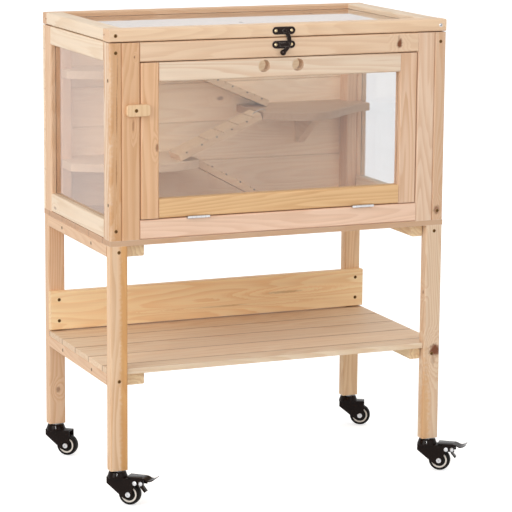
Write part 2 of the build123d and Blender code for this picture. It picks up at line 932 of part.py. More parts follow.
lower_platform_top = floor_top + lower_platform_rise
right_platform_top = floor_top + right_platform_rise
upper_platform_top = floor_top + upper_platform_rise
save(
    "ramp_lower",
    ramp(
        lower_ramp_foot_x,
        floor_top,
        lower_platform_end,
        lower_platform_top - platform_thick,
        wall_front - lower_ramp_setback - ramp_width,
        plumb=True,
    ),
)
save(
    "ramp_middle",
    ramp(
        middle_ramp_foot_x,
        lower_platform_top,
        right_platform_end,
        right_platform_top - ramp_thick,
        wall_front - middle_ramp_setback - ramp_width,
    ),
)
save(
    "ramp_upper",
    ramp(
        upper_ramp_foot_x,
        right_platform_top,
        upper_platform_end,
        upper_platform_top,
        wall_front - upper_ramp_setback - ramp_width,
    ),
)

# ---------------------------------------------------------------- screws
def screw(place, length=screw_length):
    """A countersunk screw whose head lies just below the face."""
    head_height = (screw_head_radius - screw_radius) / countersink_slope
    with BuildPart() as wood_screw:
        with Locations(place.offset(-screw_head_sink)):
            Cone(
                bottom_radius=screw_radius,
                top_radius=screw_head_radius,
                height=head_height,
                align=(Align.CENTER, Align.CENTER, Align.MAX),
            )
            Cylinder(
                radius=screw_radius,
                height=length - screw_tip_play,
                align=(Align.CENTER, Align.CENTER, Align.MAX),
            )
    return wood_screw.part


button_screw = screw(outward(button_pivot_x, button_face, button_z, (0, -1, 0)), length=button_screw_length)
board_screws = [screw(place, length=board_screw_length) for place in back_board_screws]
save("frame_screws", join([screw(place) for place in screws] + board_screws + [button_screw]))
save("lid_screws", join([screw(place) for place in lid_screws]))


# ---------------------------------------------------------------- casters
class Caster:
    """Places of one caster: the way it trails, the plane of its side and its axle."""

    def __init__(self, x_side, y_side, trail):
        angle = radians(trail)
        self.stem = Vector(x_side * leg_x, y_side * leg_y, 0)
        self.trail = Vector(cos(angle), -sin(angle), 0)
        self.across = Vector(-sin(angle), -cos(angle), 0)
        self.side = Plane(origin=self.stem, x_dir=self.trail, z_dir=self.across)
        self.axle = self.stem + self.trail * axle_offset + Vector(0, 0, wheel_radius)
        self.axle_section = Plane(
            origin=self.axle, x_dir=self.across, z_dir=self.across.cross(Vector(0, 0, 1))
        )
        self.upright = Plane(origin=self.stem, x_dir=self.trail, z_dir=(0, 0, 1))


fork_heel = plate_overhang - bearing_radius
lobe_front = axle_offset + fork_lobe
fork_gap = wheel_width / 2 + cheek_gap
fork_half = fork_gap + cheek_thick
pedal_bottom = fork_top + pedal_lift


def caster_stem(caster):
    """Threaded stem with its nut below the leg and the head that the fork turns on."""
    head_top = fork_top - cheek_thick - caster_clearance
    nut_bottom = bearing_top + caster_clearance
    with BuildPart() as stem:
        with BuildSketch(caster.upright.offset(head_top - stem_head_height)):
            Circle(stem_head_radius)
        extrude(amount=stem_head_height)
        with BuildSketch(caster.upright.offset(head_top)):
            Circle(stem_radius)
        extrude(amount=leg_bottom + stem_depth - head_top)
        with BuildSketch(caster.upright.offset(nut_bottom)):
            RegularPolygon(nut_flats / 2, 6, major_radius=False)
        extrude(amount=leg_bottom - nut_bottom)
    return stem.part


def fork_outline(braked):
    """Cheek seen from the side: a lobe round the axle and a sloping back.

    The cheek of a braked fork also reaches out over the wheel to carry the pedal.
    """
    nose_bottom = fork_top - fork_nose
    lobe_bottom = wheel_radius - fork_lobe
    nose = [
        (fork_reach, fork_top),
        (fork_reach, nose_bottom),
        (lobe_front + fork_throat, nose_bottom),
        (lobe_front, wheel_radius + fork_lobe),
    ]
    Polygon(
        (fork_heel, fork_top),
        *(nose if braked else [(lobe_front, fork_top)]),
        (lobe_front, lobe_bottom),
        (axle_offset - fork_lobe, lobe_bottom),
        (fork_heel, nose_bottom),
        align=None,
    )


def caster_fork(caster, braked=False):
    """Pressed steel fork: two cheeks, the top that joins them and the bearing housing."""
    plate_end = pedal_pivot_x - pedal_rivet_radius if braked else lobe_front
    with BuildPart() as fork:
        for side in (-1, 1):
            with BuildSketch(caster.side.offset(side * fork_gap)) as cheek:
                fork_outline(braked)
                lobe_corners = cheek.vertices().sort_by(Axis.Y)[:2]
                fillet(lobe_corners, radius=fork_lobe_round)
                with Locations((axle_offset, wheel_radius)):
                    Circle(axle_bolt_radius + axle_bolt_play, mode=Mode.SUBTRACT)
            extrude(amount=side * cheek_thick)
        # Top of the pressing, which ends where a pedal needs room
        with BuildSketch(caster.upright.offset(fork_top - cheek_thick)):
            with Locations((fork_heel, 0)):
                Rectangle(
                    plate_end - fork_heel,
                    2 * fork_half,
                    align=(Align.MIN, Align.CENTER),
                )
            Circle(bearing_radius)
        extrude(amount=cheek_thick)
        # Bearing housing that turns below the leg
        with BuildSketch(caster.upright.offset(fork_top)):
            Circle(bearing_radius)
        extrude(amount=bearing_top - fork_top, taper=bearing_taper)
        with BuildSketch(caster.upright.offset(fork_top - cheek_thick)):
            Circle(stem_radius + stem_play)
        extrude(amount=bearing_top - fork_top + cheek_thick, mode=Mode.SUBTRACT)
    head_end = fork_half + axle_head_height
    with BuildPart() as bolt:
        with BuildSketch(caster.axle_section):
            with BuildLine():
                Polyline(
                    (-head_end, 0),
                    (head_end, 0),
                    (head_end, axle_head_radius - axle_head_chamfer),
                    (head_end - axle_head_chamfer, axle_head_radius),
                    (fork_half, axle_head_radius),
                    (fork_half, axle_bolt_radius),
                    (-fork_half, axle_bolt_radius),
                    (-fork_half, axle_head_radius),
                    (axle_head_chamfer - head_end, axle_head_radius),
                    (-head_end, axle_head_radius - axle_head_chamfer),
                    close=True,
                )
            make_face()
        revolve(axis=Axis(caster.axle, caster.across))
    return fork.part, bolt.part


def braked_fork(caster):
    """The front forks also carry the pin of the brake pedal."""
    fork, bolt = caster_fork(caster, braked=True)
    with BuildPart() as fork_with_pin:
        add(fork)
        with BuildSketch(caster.side):
            with Locations((pedal_pivot_x, pedal_pivot_z)):
                Circle(pedal_pin_radius)
        extrude(amount=fork_half + 2 * caster_clearance + pedal_thick, both=True)
        for side in (-1, 1):
            with BuildSketch(caster.side.offset(side * (fork_half + 2 * caster_clearance + pedal_thick))):
                with Locations((pedal_pivot_x, pedal_pivot_z)):
                    Circle(pedal_rivet_radius)
            extrude(amount=side * pedal_rivet_height)
    return fork_with_pin.part, bolt


def caster_wheel(caster):
    """Hub with recessed sides and a moulded tyre, turning on the axle bolt."""
    half = wheel_width / 2
    recessed = half - hub_recess
    shoulder = half - hub_recess / 2
    bore = axle_bolt_radius + wheel_bore_play
    tread = wheel_radius - tread_crown
    # Distance from the middle plane and radius, from the bore out to the tread
    face = [
        (half, bore),
        (half, hub_boss_radius),
        (recessed, hub_boss_radius + hub_draft),
        (recessed, hub_radius - hub_draft),
        (shoulder, hub_radius + hub_draft),
        (shoulder, tread),
    ]
    with BuildPart() as wheel:
        with BuildSketch(caster.axle_section):
            with BuildLine():
                Polyline(*face)
                ThreePointArc((shoulder, tread), (0, wheel_radius), (-shoulder, tread))
                Polyline(*[(-across, radius) for across, radius in reversed(face)])
                Line((-half, bore), (half, bore))
            make_face()
        revolve(axis=Axis(caster.axle, caster.across))
    return wheel.part


def brake_pedal(caster):
    """Pressed lever over the fork, with lugs outside the cheeks and a tongue behind the wheel."""
    lug_gap = fork_half + caster_clearance
    lug_drop = pedal_bottom - pedal_pivot_z + pedal_rivet_radius
    low = pedal_bottom
    high = pedal_bottom + pedal_thick
    bend = fork_reach - pedal_bend
    dip = (bend + pedal_tip) / 2
    with BuildPart() as pedal:
        with BuildSketch(caster.side):
            with BuildLine():
                Line((pedal_start, low), (bend, low))
                Spline(
                    (bend, low),
                    (dip, low - pedal_dip),
                    (pedal_tip, low + pedal_rise),
                    tangents=((1, 0), (1, 1)),
                )
                Line((pedal_tip, low + pedal_rise), (pedal_tip, high + pedal_rise))
                Spline(
                    (pedal_tip, high + pedal_rise),
                    (dip, high - pedal_dip),
                    (bend, high),
                    tangents=((-1, -1), (-1, 0)),
                )
                Polyline((bend, high), (pedal_start, high), (pedal_start, low))
            make_face()
        extrude(amount=lug_gap + pedal_thick, both=True)
        for side in (-1, 1):
            with BuildSketch(caster.side.offset(side * lug_gap)):
                with Locations((pedal_pivot_x - pedal_lug_back, pedal_bottom)):
                    Rectangle(pedal_lug, lug_drop, align=(Align.MIN, Align.MAX))
                with Locations((pedal_pivot_x, pedal_pivot_z)):
                    Circle(pedal_pin_radius + pedal_pin_play, mode=Mode.SUBTRACT)
            extrude(amount=side * pedal_thick)
        with BuildSketch(caster.side):
            with BuildLine():
                Polyline(
                    (tongue_x, low),
                    (tongue_x + tongue_sheet, low),
                    (tongue_x + tongue_sheet, low - tongue_drop),
                    (tongue_x + tongue_kick, low - tongue_drop - tongue_kick),
                    (tongue_x + tongue_kick - tongue_sheet, low - tongue_drop - tongue_kick),
                    (tongue_x, low - tongue_drop),
                    close=True,
                )
            make_face()
        extrude(amount=wheel_width / 2, both=True)
    return pedal.part


casters = {
    "front_left": Caster(-1, -1, trail_front_left),
    "front_right": Caster(1, -1, trail_front_right),
    "rear_left": Caster(-1, 1, trail_rear_left),
    "rear_right": Caster(1, 1, trail_rear_right),
}
save("caster_stems", join([caster_stem(caster) for caster in casters.values()]))
for corner, caster in casters.items():
    fork_solids = braked_fork(caster) if corner.startswith("front") else caster_fork(caster)
    save(f"caster_fork_{corner}", join(fork_solids))
    save(f"caster_wheel_{corner}", caster_wheel(caster))
    if corner.startswith("front"):
        save(f"brake_pedal_{corner}", brake_pedal(caster))
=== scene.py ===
# %% [markdown]
# # A pine hamster cage on a wheeled stand
#
# The cage is a box of pine frames with clear panes, a lid and a drop-down door. It stands on four legs
# with a shelf between them, and rolls on four casters. The joiner's model is loaded first and never
# moved: this lesson gives it wood, clear panes, metal and rubber, and makes the small fittings that
# catch the light.

# %% Load the joiner's model
import json
import math
import bmesh
import bpy
import numpy as np
from mathutils import Matrix, Vector


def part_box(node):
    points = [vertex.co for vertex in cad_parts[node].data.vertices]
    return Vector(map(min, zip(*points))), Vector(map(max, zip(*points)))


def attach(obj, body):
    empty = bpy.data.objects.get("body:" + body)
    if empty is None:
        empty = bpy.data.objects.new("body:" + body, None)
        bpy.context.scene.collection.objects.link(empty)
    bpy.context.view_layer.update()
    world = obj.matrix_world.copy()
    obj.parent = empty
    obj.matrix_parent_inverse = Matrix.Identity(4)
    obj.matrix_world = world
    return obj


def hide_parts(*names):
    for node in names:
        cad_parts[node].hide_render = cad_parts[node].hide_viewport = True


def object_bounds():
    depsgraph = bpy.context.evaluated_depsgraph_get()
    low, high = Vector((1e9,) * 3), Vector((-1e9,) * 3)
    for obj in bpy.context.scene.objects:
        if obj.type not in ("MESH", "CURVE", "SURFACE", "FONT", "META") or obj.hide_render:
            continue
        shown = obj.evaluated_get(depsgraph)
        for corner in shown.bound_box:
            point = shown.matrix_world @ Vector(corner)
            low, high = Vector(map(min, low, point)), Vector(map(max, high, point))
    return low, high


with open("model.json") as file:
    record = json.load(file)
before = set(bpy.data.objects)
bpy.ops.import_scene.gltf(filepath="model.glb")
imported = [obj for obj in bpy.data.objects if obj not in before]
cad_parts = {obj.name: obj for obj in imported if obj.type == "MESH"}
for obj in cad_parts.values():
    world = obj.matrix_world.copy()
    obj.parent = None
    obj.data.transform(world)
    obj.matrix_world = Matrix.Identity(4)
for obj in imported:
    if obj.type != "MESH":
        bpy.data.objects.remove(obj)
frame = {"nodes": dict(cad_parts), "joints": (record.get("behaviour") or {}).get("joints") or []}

nodes = frame["nodes"]
joints = {joint["name"]: joint for joint in frame["joints"]}
cad_low, cad_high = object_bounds()


def put_in_scene(name, data):
    """A new object that holds the given mesh, curve, lamp or camera."""
    thing = bpy.data.objects.new(name, data)
    bpy.context.scene.collection.objects.link(thing)
    return thing


print("pieces in the model:", len(nodes), "moving joints:", len(joints))
print("size in metres:", [round(b - a, 4) for a, b in zip(cad_low, cad_high)])

# %% [markdown]
# ## The view
#
# The cage is seen from its front left corner, from a little above its lid, through a long lens. A long lens
# keeps the legs nearly parallel. The view is built from where the eye stands, how far it turns to the
# right and how far it looks down, and a small lens shift puts the cage in the middle of the picture.

# %% Put up the camera
eye = Vector((-2.0874, -5.0267, 1.5345))
turn_right = 0.391
look_down = 0.177
tilt = 0.0062

ahead = Vector((
    math.sin(turn_right) * math.cos(look_down),
    math.cos(turn_right) * math.cos(look_down),
    -math.sin(look_down),
))
level_right = Vector((math.cos(turn_right), -math.sin(turn_right), 0))
level_up = level_right.cross(ahead)
right = level_right * math.cos(tilt) + level_up * math.sin(tilt)
up = level_up * math.cos(tilt) - level_right * math.sin(tilt)

lens = bpy.data.cameras.new("view")
lens.lens = 168.9
lens.sensor_width = 36
lens.shift_x = 0.041
lens.shift_y = -0.0605
lens.clip_start = 0.1
lens.clip_end = 60
camera = put_in_scene("view", lens)
camera.matrix_world = Matrix((
    (right.x, up.x, -ahead.x, eye.x),
    (right.y, up.y, -ahead.y, eye.y),
    (right.z, up.z, -ahead.z, eye.z),
    (0, 0, 0, 1),
))
bpy.context.scene.camera = camera
bpy.context.scene.view_settings.view_transform = "Standard"
print("camera stands", round(eye.length, 2), "m from the middle of the floor")

# %% [markdown]
# ## Talking to the material nodes
#
# A Blender material is a small web of nodes. These helpers put a node down, set its numbers and wire it up
# in one line, so that the recipes below read like recipes. Colours are written as they look on a screen,
# from 0 to 255, and turned into the linear light that the renderer adds up.

# %% Helpers for node webs
number, vector, colour = "NodeSocketFloat", "NodeSocketVector", "NodeSocketColor"
# The colour sockets of a Mix node, which shares its socket names with its other kinds
mix_first, mix_second, mix_result = 6, 7, 2


def linear(red, green, blue):
    """A screen colour as linear light, with full opacity."""
    parts = []
    for value in (red, green, blue):
        share = value / 255
        parts.append(share / 12.92 if share <= 0.04045 else ((share + 0.055) / 1.055) ** 2.4)
    return (*parts, 1.0)


def fill(tree, node, inputs):
    """Sets a node's inputs, each to a number, a colour or another node's output."""
    for name, value in inputs.items():
        if isinstance(value, bpy.types.NodeSocket):
            tree.links.new(value, node.inputs[name])
        else:
            node.inputs[name].default_value = value


def place(tree, kind, inputs=None, **settings):
    """Adds a node, sets its properties, then fills its inputs."""
    node = tree.nodes.new(kind)
    for name, value in settings.items():
        setattr(node, name, value)
    fill(tree, node, inputs or {})
    return node


def maths(tree, operation, first, second=0.0, third=0.0):
    """One sum on numbers, such as MULTIPLY or FRACT."""
    return place(tree, "ShaderNodeMath", {0: first, 1: second, 2: third}, operation=operation).outputs[0]


def vectors(tree, operation, first, second=(0, 0, 0)):
    """One sum on positions or directions. A dot product comes out as a number."""
    node = place(tree, "ShaderNodeVectorMath", {0: first, 1: second}, operation=operation)
    return node.outputs["Value" if operation in ("DOT_PRODUCT", "LENGTH") else "Vector"]


def blended(tree, share, first, second, blend="MIX"):
    """Two colours mixed by a share from 0 to 1."""
    node = place(tree, "ShaderNodeMix", {"Factor": share, mix_first: first, mix_second: second},
                 data_type="RGBA", blend_type=blend, clamp_factor=True)
    return node.outputs[mix_result]


def between(tree, value, low, high, out_low=0.0, out_high=1.0):
    """Turns the range low to high into out_low to out_high with soft ends."""
    limits = {"From Min": low, "From Max": high, "To Min": out_low, "To Max": out_high}
    node = place(tree, "ShaderNodeMapRange", {"Value": value, **limits}, interpolation_type="SMOOTHSTEP")
    return node.outputs["Result"]


def own_place(tree):
    """Where a point sits on its piece, in metres."""
    return place(tree, "ShaderNodeTexCoord").outputs["Object"]


def noise(tree, spot, scale, detail=2.0, roughness=0.5, distortion=0.0):
    """A noise from 0 to 1 with a middle of a half."""
    return place(tree, "ShaderNodeTexNoise", {
        "Vector": spot, "Scale": scale, "Detail": detail, "Roughness": roughness, "Distortion": distortion,
    }).outputs["Fac"]


def new_group(name, inputs, outputs):
    """A node group with named sockets, each given as (name, kind, starting value)."""
    tree = bpy.data.node_groups.new(name, "ShaderNodeTree")
    for label, kind, value in inputs:
        tree.interface.new_socket(label, in_out="INPUT", socket_type=kind).default_value = value
    for label, kind in outputs:
        tree.interface.new_socket(label, in_out="OUTPUT", socket_type=kind)
    return tree, tree.nodes.new("NodeGroupInput").outputs, tree.nodes.new("NodeGroupOutput")


print("pure white as linear light:", linear(255, 255, 255))

# %% [markdown]
# ## Worn edges and painted highlights
#
# Planed wood and plated steel show wear first on their arrises, where hands and cloths rub, and on the black
# enamel and the dark nickel the same edges carry a painted highlight. The Bevel node bends the surface's
# direction near an edge, and where that bent direction differs from the true one there is an edge. That works
# on any mesh, however few faces it has, and every finish below can use it.

# %% Make the edge group for wear and painted highlights
edge_tree, edge_in, edge_out = new_group(
    "edge wear and highlight", [("Width", number, 0.002), ("Breaks", number, 60.0)], [("Edge mask", number)]
)
rounded = place(edge_tree, "ShaderNodeBevel", {"Radius": edge_in["Width"]}, samples=4)
true_side = place(edge_tree, "ShaderNodeNewGeometry")
facing = vectors(edge_tree, "DOT_PRODUCT", rounded.outputs["Normal"], true_side.outputs["Normal"])
at_edge = between(edge_tree, facing, low=0.995, high=0.80)
patches = noise(edge_tree, own_place(edge_tree), edge_in["Breaks"])
broken_up = between(edge_tree, patches, low=0.35, high=0.65, out_low=0.3, out_high=1.0)
fill(edge_tree, edge_out, {"Edge mask": maths(edge_tree, "MULTIPLY", at_edge, broken_up)})
print("edge group ready:", len(edge_tree.nodes), "nodes")

# %% [markdown]
# ## A knot
#
# A knot is the foot of a branch. It is a dark, hard disc drawn out along the board, and the grain swerves
# round it. The group measures how near a point is to the knot's middle. It gives the dark of the disc and
# the pull on the rings beside it, and takes the same two from the knot before, so that knots chain up.

# %% Make the knot group
knot_tree, knot_in, knot_out = new_group(
    "knot",
    [
        ("Centre", vector, (0, 0, 0)),
        ("Spread", vector, (0.01, 0.01, 0.01)),
        ("Darkness", number, 1.0),
        ("Pull before", number, 0.0),
        ("Dark before", number, 0.0),
    ],
    [("Pull", number), ("Dark", number)],
)
raggedness = 0.9
halo_pull = 2.2
knot_spot = own_place(knot_tree)
from_middle = vectors(knot_tree, "SUBTRACT", knot_spot, knot_in["Centre"])
spreads_off = vectors(knot_tree, "LENGTH", vectors(knot_tree, "DIVIDE", from_middle, knot_in["Spread"]))
ragged = maths(knot_tree, "SUBTRACT", noise(knot_tree, knot_spot, scale=130.0), 0.5)
reach = maths(knot_tree, "ADD", spreads_off, maths(knot_tree, "MULTIPLY", ragged, raggedness))
disc = maths(knot_tree, "MULTIPLY", between(knot_tree, reach, low=1.25, high=0.45), knot_in["Darkness"])
halo = between(knot_tree, reach, low=4.5, high=0.6)
fill(knot_tree, knot_out, {
    "Pull": maths(knot_tree, "MULTIPLY_ADD", halo, halo_pull, knot_in["Pull before"]),
    "Dark": maths(knot_tree, "MAXIMUM", disc, knot_in["Dark before"]),
})
print("knot group ready:", len(knot_tree.nodes), "nodes")

# %% [markdown]
# ## Boards and seams
#
# Pine is one group with a setting for everything that differs from piece to piece. The first part of it
# finds the board that a point belongs to, when a piece of the model is a row of boards. Each board takes its
# wood from another place in the log, and the joint between two boards gets a thin dark line of painted
# shadow, standing for the shade in its V-groove.

# %% Start the pine group
pine_tree, pine_in, pine_out = new_group(
    "pine",
    [
        ("Along", vector, (0, 0, 1)),
        ("Shift", vector, (0, 0, 0)),
        ("Board size", vector, (10, 10, 10)),
        ("First board", vector, (-5, -5, -5)),
        ("Spring wood", colour, linear(226, 188, 150)),
        ("Summer wood", colour, linear(200, 150, 104)),
        ("Knot wood", colour, linear(120, 66, 34)),
        ("Rings", number, 20.0),
        ("Ring strength", number, 0.4),
        ("Board spread", number, 0.10),
        ("Seam shade", number, 0.55),
        ("Seam width", number, 0.0022),
        ("Pull", number, 0.0),
        ("Dark", number, 0.0),
        ("Heartwood", colour, linear(214, 158, 98)),
        ("Heart share", number, 0.0),
        ("Edge mask", number, 0.0),
    ],
    [("Color", colour), ("Roughness", number), ("Height", number)],
)


def pine_maths(operation, *parts):
    """One sum on numbers in the pine group."""
    return maths(pine_tree, operation, *parts)


def pine_vectors(operation, *parts):
    """One sum on positions or directions in the pine group."""
    return vectors(pine_tree, operation, *parts)


pine_place = place(pine_tree, "ShaderNodeTexCoord")
spot = pine_place.outputs["Object"]
boards_along = pine_vectors(
    "DIVIDE", pine_vectors("SUBTRACT", spot, pine_in["First board"]), pine_in["Board size"]
)
board_luck = place(pine_tree, "ShaderNodeTexWhiteNoise", {"Vector": pine_vectors("FLOOR", boards_along)},
                   noise_dimensions="3D")
luck = place(pine_tree, "ShaderNodeSeparateColor", {"Color": board_luck.outputs["Color"]}).outputs["Red"]
in_log = pine_vectors("ADD", pine_vectors("ADD", spot, pine_in["Shift"]), board_luck.outputs["Color"])

# How far a point is from the nearest seam, taken from its share of the board's width in each direction
in_board = pine_vectors("FRACTION", boards_along)
nearer_side = pine_vectors("MINIMUM", in_board, pine_vectors("SUBTRACT", (1, 1, 1), in_board))
from_seam = place(pine_tree, "ShaderNodeSeparateXYZ", {
    "Vector": pine_vectors("MULTIPLY", nearer_side, pine_in["Board size"]),
}).outputs
nearest_seam = pine_maths("MINIMUM", from_seam["X"], pine_maths("MINIMUM", from_seam["Y"], from_seam["Z"]))
# The dark line along each seam is painted shadow for the shade in the V-groove.
seam_reach = pine_maths("DIVIDE", nearest_seam, pine_in["Seam width"])
seam_shade = pine_maths("MULTIPLY", between(pine_tree, seam_reach, low=1.0, high=0.3), pine_in["Seam shade"])
print("pine group started:", len(pine_tree.nodes), "nodes")

# %% [markdown]
# ## Grain and colour
#
# Pine shows its growth rings as soft bands: wide pale spring wood, then a thin darker line of summer wood.
# On a sawn face the bands run the length of the piece and close up into long flames. A slow noise,
# drawn out along the run of the timber, gives those flames when its contour lines are coloured as rings.
# Finer noises add fibres, streaks and cloudy tints. Ends sawn across the run are darker because they drink
# the finish.

# %% Finish the pine group
fibre_contrast = 0.10
streak_contrast = 0.16
least_rings = 0.35
end_strength = 0.30
wear_strength = 0.35
dull_wood = 0.55
fibre_gloss = 0.25
knot_gloss = 0.15
fibre_relief = 0.6
ring_relief = 0.4


def grain(keep, scale, detail, roughness=0.5):
    """A noise that stretches along the run, because the run is shortened to a share of itself."""
    squeeze = pine_vectors("SUBTRACT", (1, 1, 1), pine_vectors("MULTIPLY", pine_in["Along"], (1 - keep,) * 3))
    return noise(pine_tree, pine_vectors("MULTIPLY", in_log, squeeze), scale, detail, roughness)


def toned(share, wood, tone, blend="MULTIPLY"):
    """The wood with a share of a tone laid over it."""
    return blended(pine_tree, share, wood, blended(pine_tree, 1.0, wood, linear(*tone), blend))


flames = pine_maths("MULTIPLY", grain(keep=0.09, scale=13.0, detail=1.0, roughness=0.4), pine_in["Rings"])
swerve = pine_maths("ADD", pine_in["Pull"], grain(keep=0.05, scale=90.0, detail=1.0))
in_ring = pine_maths("FRACT", pine_maths("ADD", flames, swerve))
into_summer = between(pine_tree, in_ring, low=0.15, high=0.85)
summer = pine_maths("MULTIPLY", into_summer, between(pine_tree, in_ring, low=1.0, high=0.88))
fibre = pine_maths("SUBTRACT", grain(keep=0.02, scale=620.0, detail=2.0, roughness=0.6), 0.5)
streak = pine_maths("SUBTRACT", grain(keep=0.03, scale=75.0, detail=2.0), 0.5)
cloud = noise(pine_tree, in_log, scale=6.0, detail=1.0)

ring_contrast = pine_maths("MULTIPLY", summer, pine_in["Ring strength"])
ring_share = pine_maths("MULTIPLY", ring_contrast, pine_maths("ADD", cloud, least_rings))
hearted = blended(pine_tree, pine_in["Heart share"], pine_in["Spring wood"], pine_in["Heartwood"])
tinted = blended(pine_tree, ring_share, hearted, pine_in["Summer wood"])
board_shade = pine_maths("MULTIPLY", pine_maths("SUBTRACT", luck, 0.5), pine_in["Board spread"])
brightness = pine_maths(
    "ADD",
    pine_maths("MULTIPLY_ADD", fibre, fibre_contrast, 1.0),
    pine_maths("MULTIPLY_ADD", streak, streak_contrast, board_shade),
)
lit = place(pine_tree, "ShaderNodeVectorMath", {0: tinted, "Scale": brightness}, operation="SCALE")
across = pine_maths("ABSOLUTE", pine_vectors("DOT_PRODUCT", pine_place.outputs["Normal"], pine_in["Along"]))
end_share = pine_maths("MULTIPLY", between(pine_tree, across, low=0.6, high=0.85), end_strength)
ended = toned(end_share, lit.outputs["Vector"], (205, 176, 150))
# Painted shadow: the seam colour darkens the line where the V-groove between two boards lies in shade.
seamed = toned(seam_shade, ended, (150, 110, 78))
knotted = blended(pine_tree, pine_in["Dark"], seamed, pine_in["Knot wood"])
worn_share = pine_maths("MULTIPLY", pine_in["Edge mask"], wear_strength)
dull = pine_maths("MULTIPLY_ADD", fibre, fibre_gloss, dull_wood)
fibre_height = pine_maths("MULTIPLY", fibre, fibre_relief)
fill(pine_tree, pine_out, {
    "Color": toned(worn_share, knotted, (238, 225, 210), "SCREEN"),
    "Roughness": pine_maths("SUBTRACT", dull, pine_maths("MULTIPLY", pine_in["Dark"], knot_gloss)),
    "Height": pine_maths("ADD", fibre_height, pine_maths("MULTIPLY", summer, ring_relief)),
})
print("pine group ready:", len(pine_tree.nodes), "nodes")

# %% [markdown]
# ## A pine for each piece
#
# Each piece of timber gets its own pine, because no two came from the same tree: its run, a place in the
# log, two wood colours and its knots. The wood is only sanded and oiled, so it is dull with a soft sheen.

# %% Make one pine for each piece
runs = {"x": (1, 0, 0), "y": (0, 1, 0), "z": (0, 0, 1)}
pines = []
# The step in the log from one piece to the next, and the log's size across
log_step = (0.37, 0.53, 0.71)
log_width, log_depth = 3.1, 2.3
bump_strength = 0.6
wood_relief = 0.0004


def surface(name, inputs):
    """A new material, its nodes and its Principled shader with some inputs filled."""
    material = bpy.data.materials.new(name)
    material.use_nodes = True
    shader = material.node_tree.nodes["Principled BSDF"]
    fill(material.node_tree, shader, inputs)
    return material, material.node_tree, shader


def add_bump(tree, shader, height, depth):
    """A fine relief on the shader from a height that changes over the surface."""
    relief = place(tree, "ShaderNodeBump", {
        "Height": height, "Distance": depth, "Strength": bump_strength,
    })
    fill(tree, shader, {"Normal": relief.outputs["Normal"]})


def knot_at(tree, run, centre, wide, long, darkness, pull=0.0, dark=0.0):
    """A knot that is long along the run and wide across it, chained to the knot before."""
    return place(tree, "ShaderNodeGroup", {
        "Centre": centre, "Spread": [long if part else wide for part in runs[run]], "Darkness": darkness,
        "Pull before": pull, "Dark before": dark,
    }, node_tree=knot_tree).outputs


# seam sets how dark the line of painted shadow along the board seams is.
def pine(name, run, spring, summer_wood, knots=(), board_size=(10, 10, 10), first_board=(-5, -5, -5),
         strength=0.4, spread=0.08, heart=None, seam=0.55, seam_width=0.0022):
    """Pine for one piece. A knot is (centre, size across, size along, darkness).

    heart is a band of heartwood in the same four terms, with its colour after them.
    """
    pines.append(name)
    along_x, along_y, along_z = (step * len(pines) for step in log_step)
    material, tree, shader = surface(name, {"Specular IOR Level": 0.35})
    edge = place(tree, "ShaderNodeGroup", node_tree=edge_tree)
    pull, dark = 0.0, 0.0
    for knot in knots:
        chained = knot_at(tree, run, *knot, pull, dark)
        pull, dark = chained["Pull"], chained["Dark"]
    wishes = {
        "Along": runs[run], "Shift": (along_x, along_y % log_width, along_z % log_depth),
        "Spring wood": linear(*spring), "Summer wood": linear(*summer_wood), "Ring strength": strength,
        "Board spread": spread, "Board size": board_size, "First board": first_board,
        "Seam shade": seam, "Seam width": seam_width, "Pull": pull, "Dark": dark,
        "Edge mask": edge.outputs["Edge mask"],
    }
    if heart:
        *band, shade = heart
        wishes["Heart share"] = knot_at(tree, run, *band)["Dark"]
        wishes["Heartwood"] = linear(*shade)
    wood = place(tree, "ShaderNodeGroup", wishes, node_tree=pine_tree).outputs
    fill(tree, shader, {"Base Color": wood["Color"], "Roughness": wood["Roughness"]})
    add_bump(tree, shader, wood["Height"], wood_relief)
    return material


def finish_node(node, material):
    """Gives a joiner's piece its finish without touching its shape."""
    piece = nodes[node]
    if piece.material_slots:
        for slot in piece.material_slots:
            slot.link = "OBJECT"
            slot.material = material
    else:
        piece.data.materials.append(material)


def dress(node, name, run, spring, summer_wood, **wishes):
    """Makes a pine and gives it to a joiner's piece."""
    finish_node(node, pine("pine " + name, run, spring, summer_wood, **wishes))


peach, peach_line = (227, 190, 156), (203, 152, 108)
# cream is partly painted light: the pale glare of the left lamp on left-facing faces.
cream, cream_line = (236, 214, 188), (214, 180, 142)
amber_line = (196, 138, 82)
print("pine can be cut along", ", ".join(runs))

# %% [markdown]
# ## The wood of the stand
#
# The frames are one batch of pine, a pinkish peach with little contrast, and the side rails of the cage and
# the lid are nearly cream, partly their wood and partly painted light for the strong lamp on their left
# faces.
# A few pieces are yellower, and those show that the timber was not sorted. The boards of the shelf, floor and
# back wall are wide, so their rings open into flames.

# %% Finish the stand
board_pitch = 0.093
first_shelf_board = 0.049


def middle(node):
    """The middle of a piece."""
    low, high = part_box(node)
    return (low + high) / 2


front_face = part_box("leg_front_right")[0].y


def on_front(node, aside, height, inward=0.0):
    """A place on the front face, to one side of the middle of a piece."""
    return (middle(node).x + aside, front_face + inward, height)


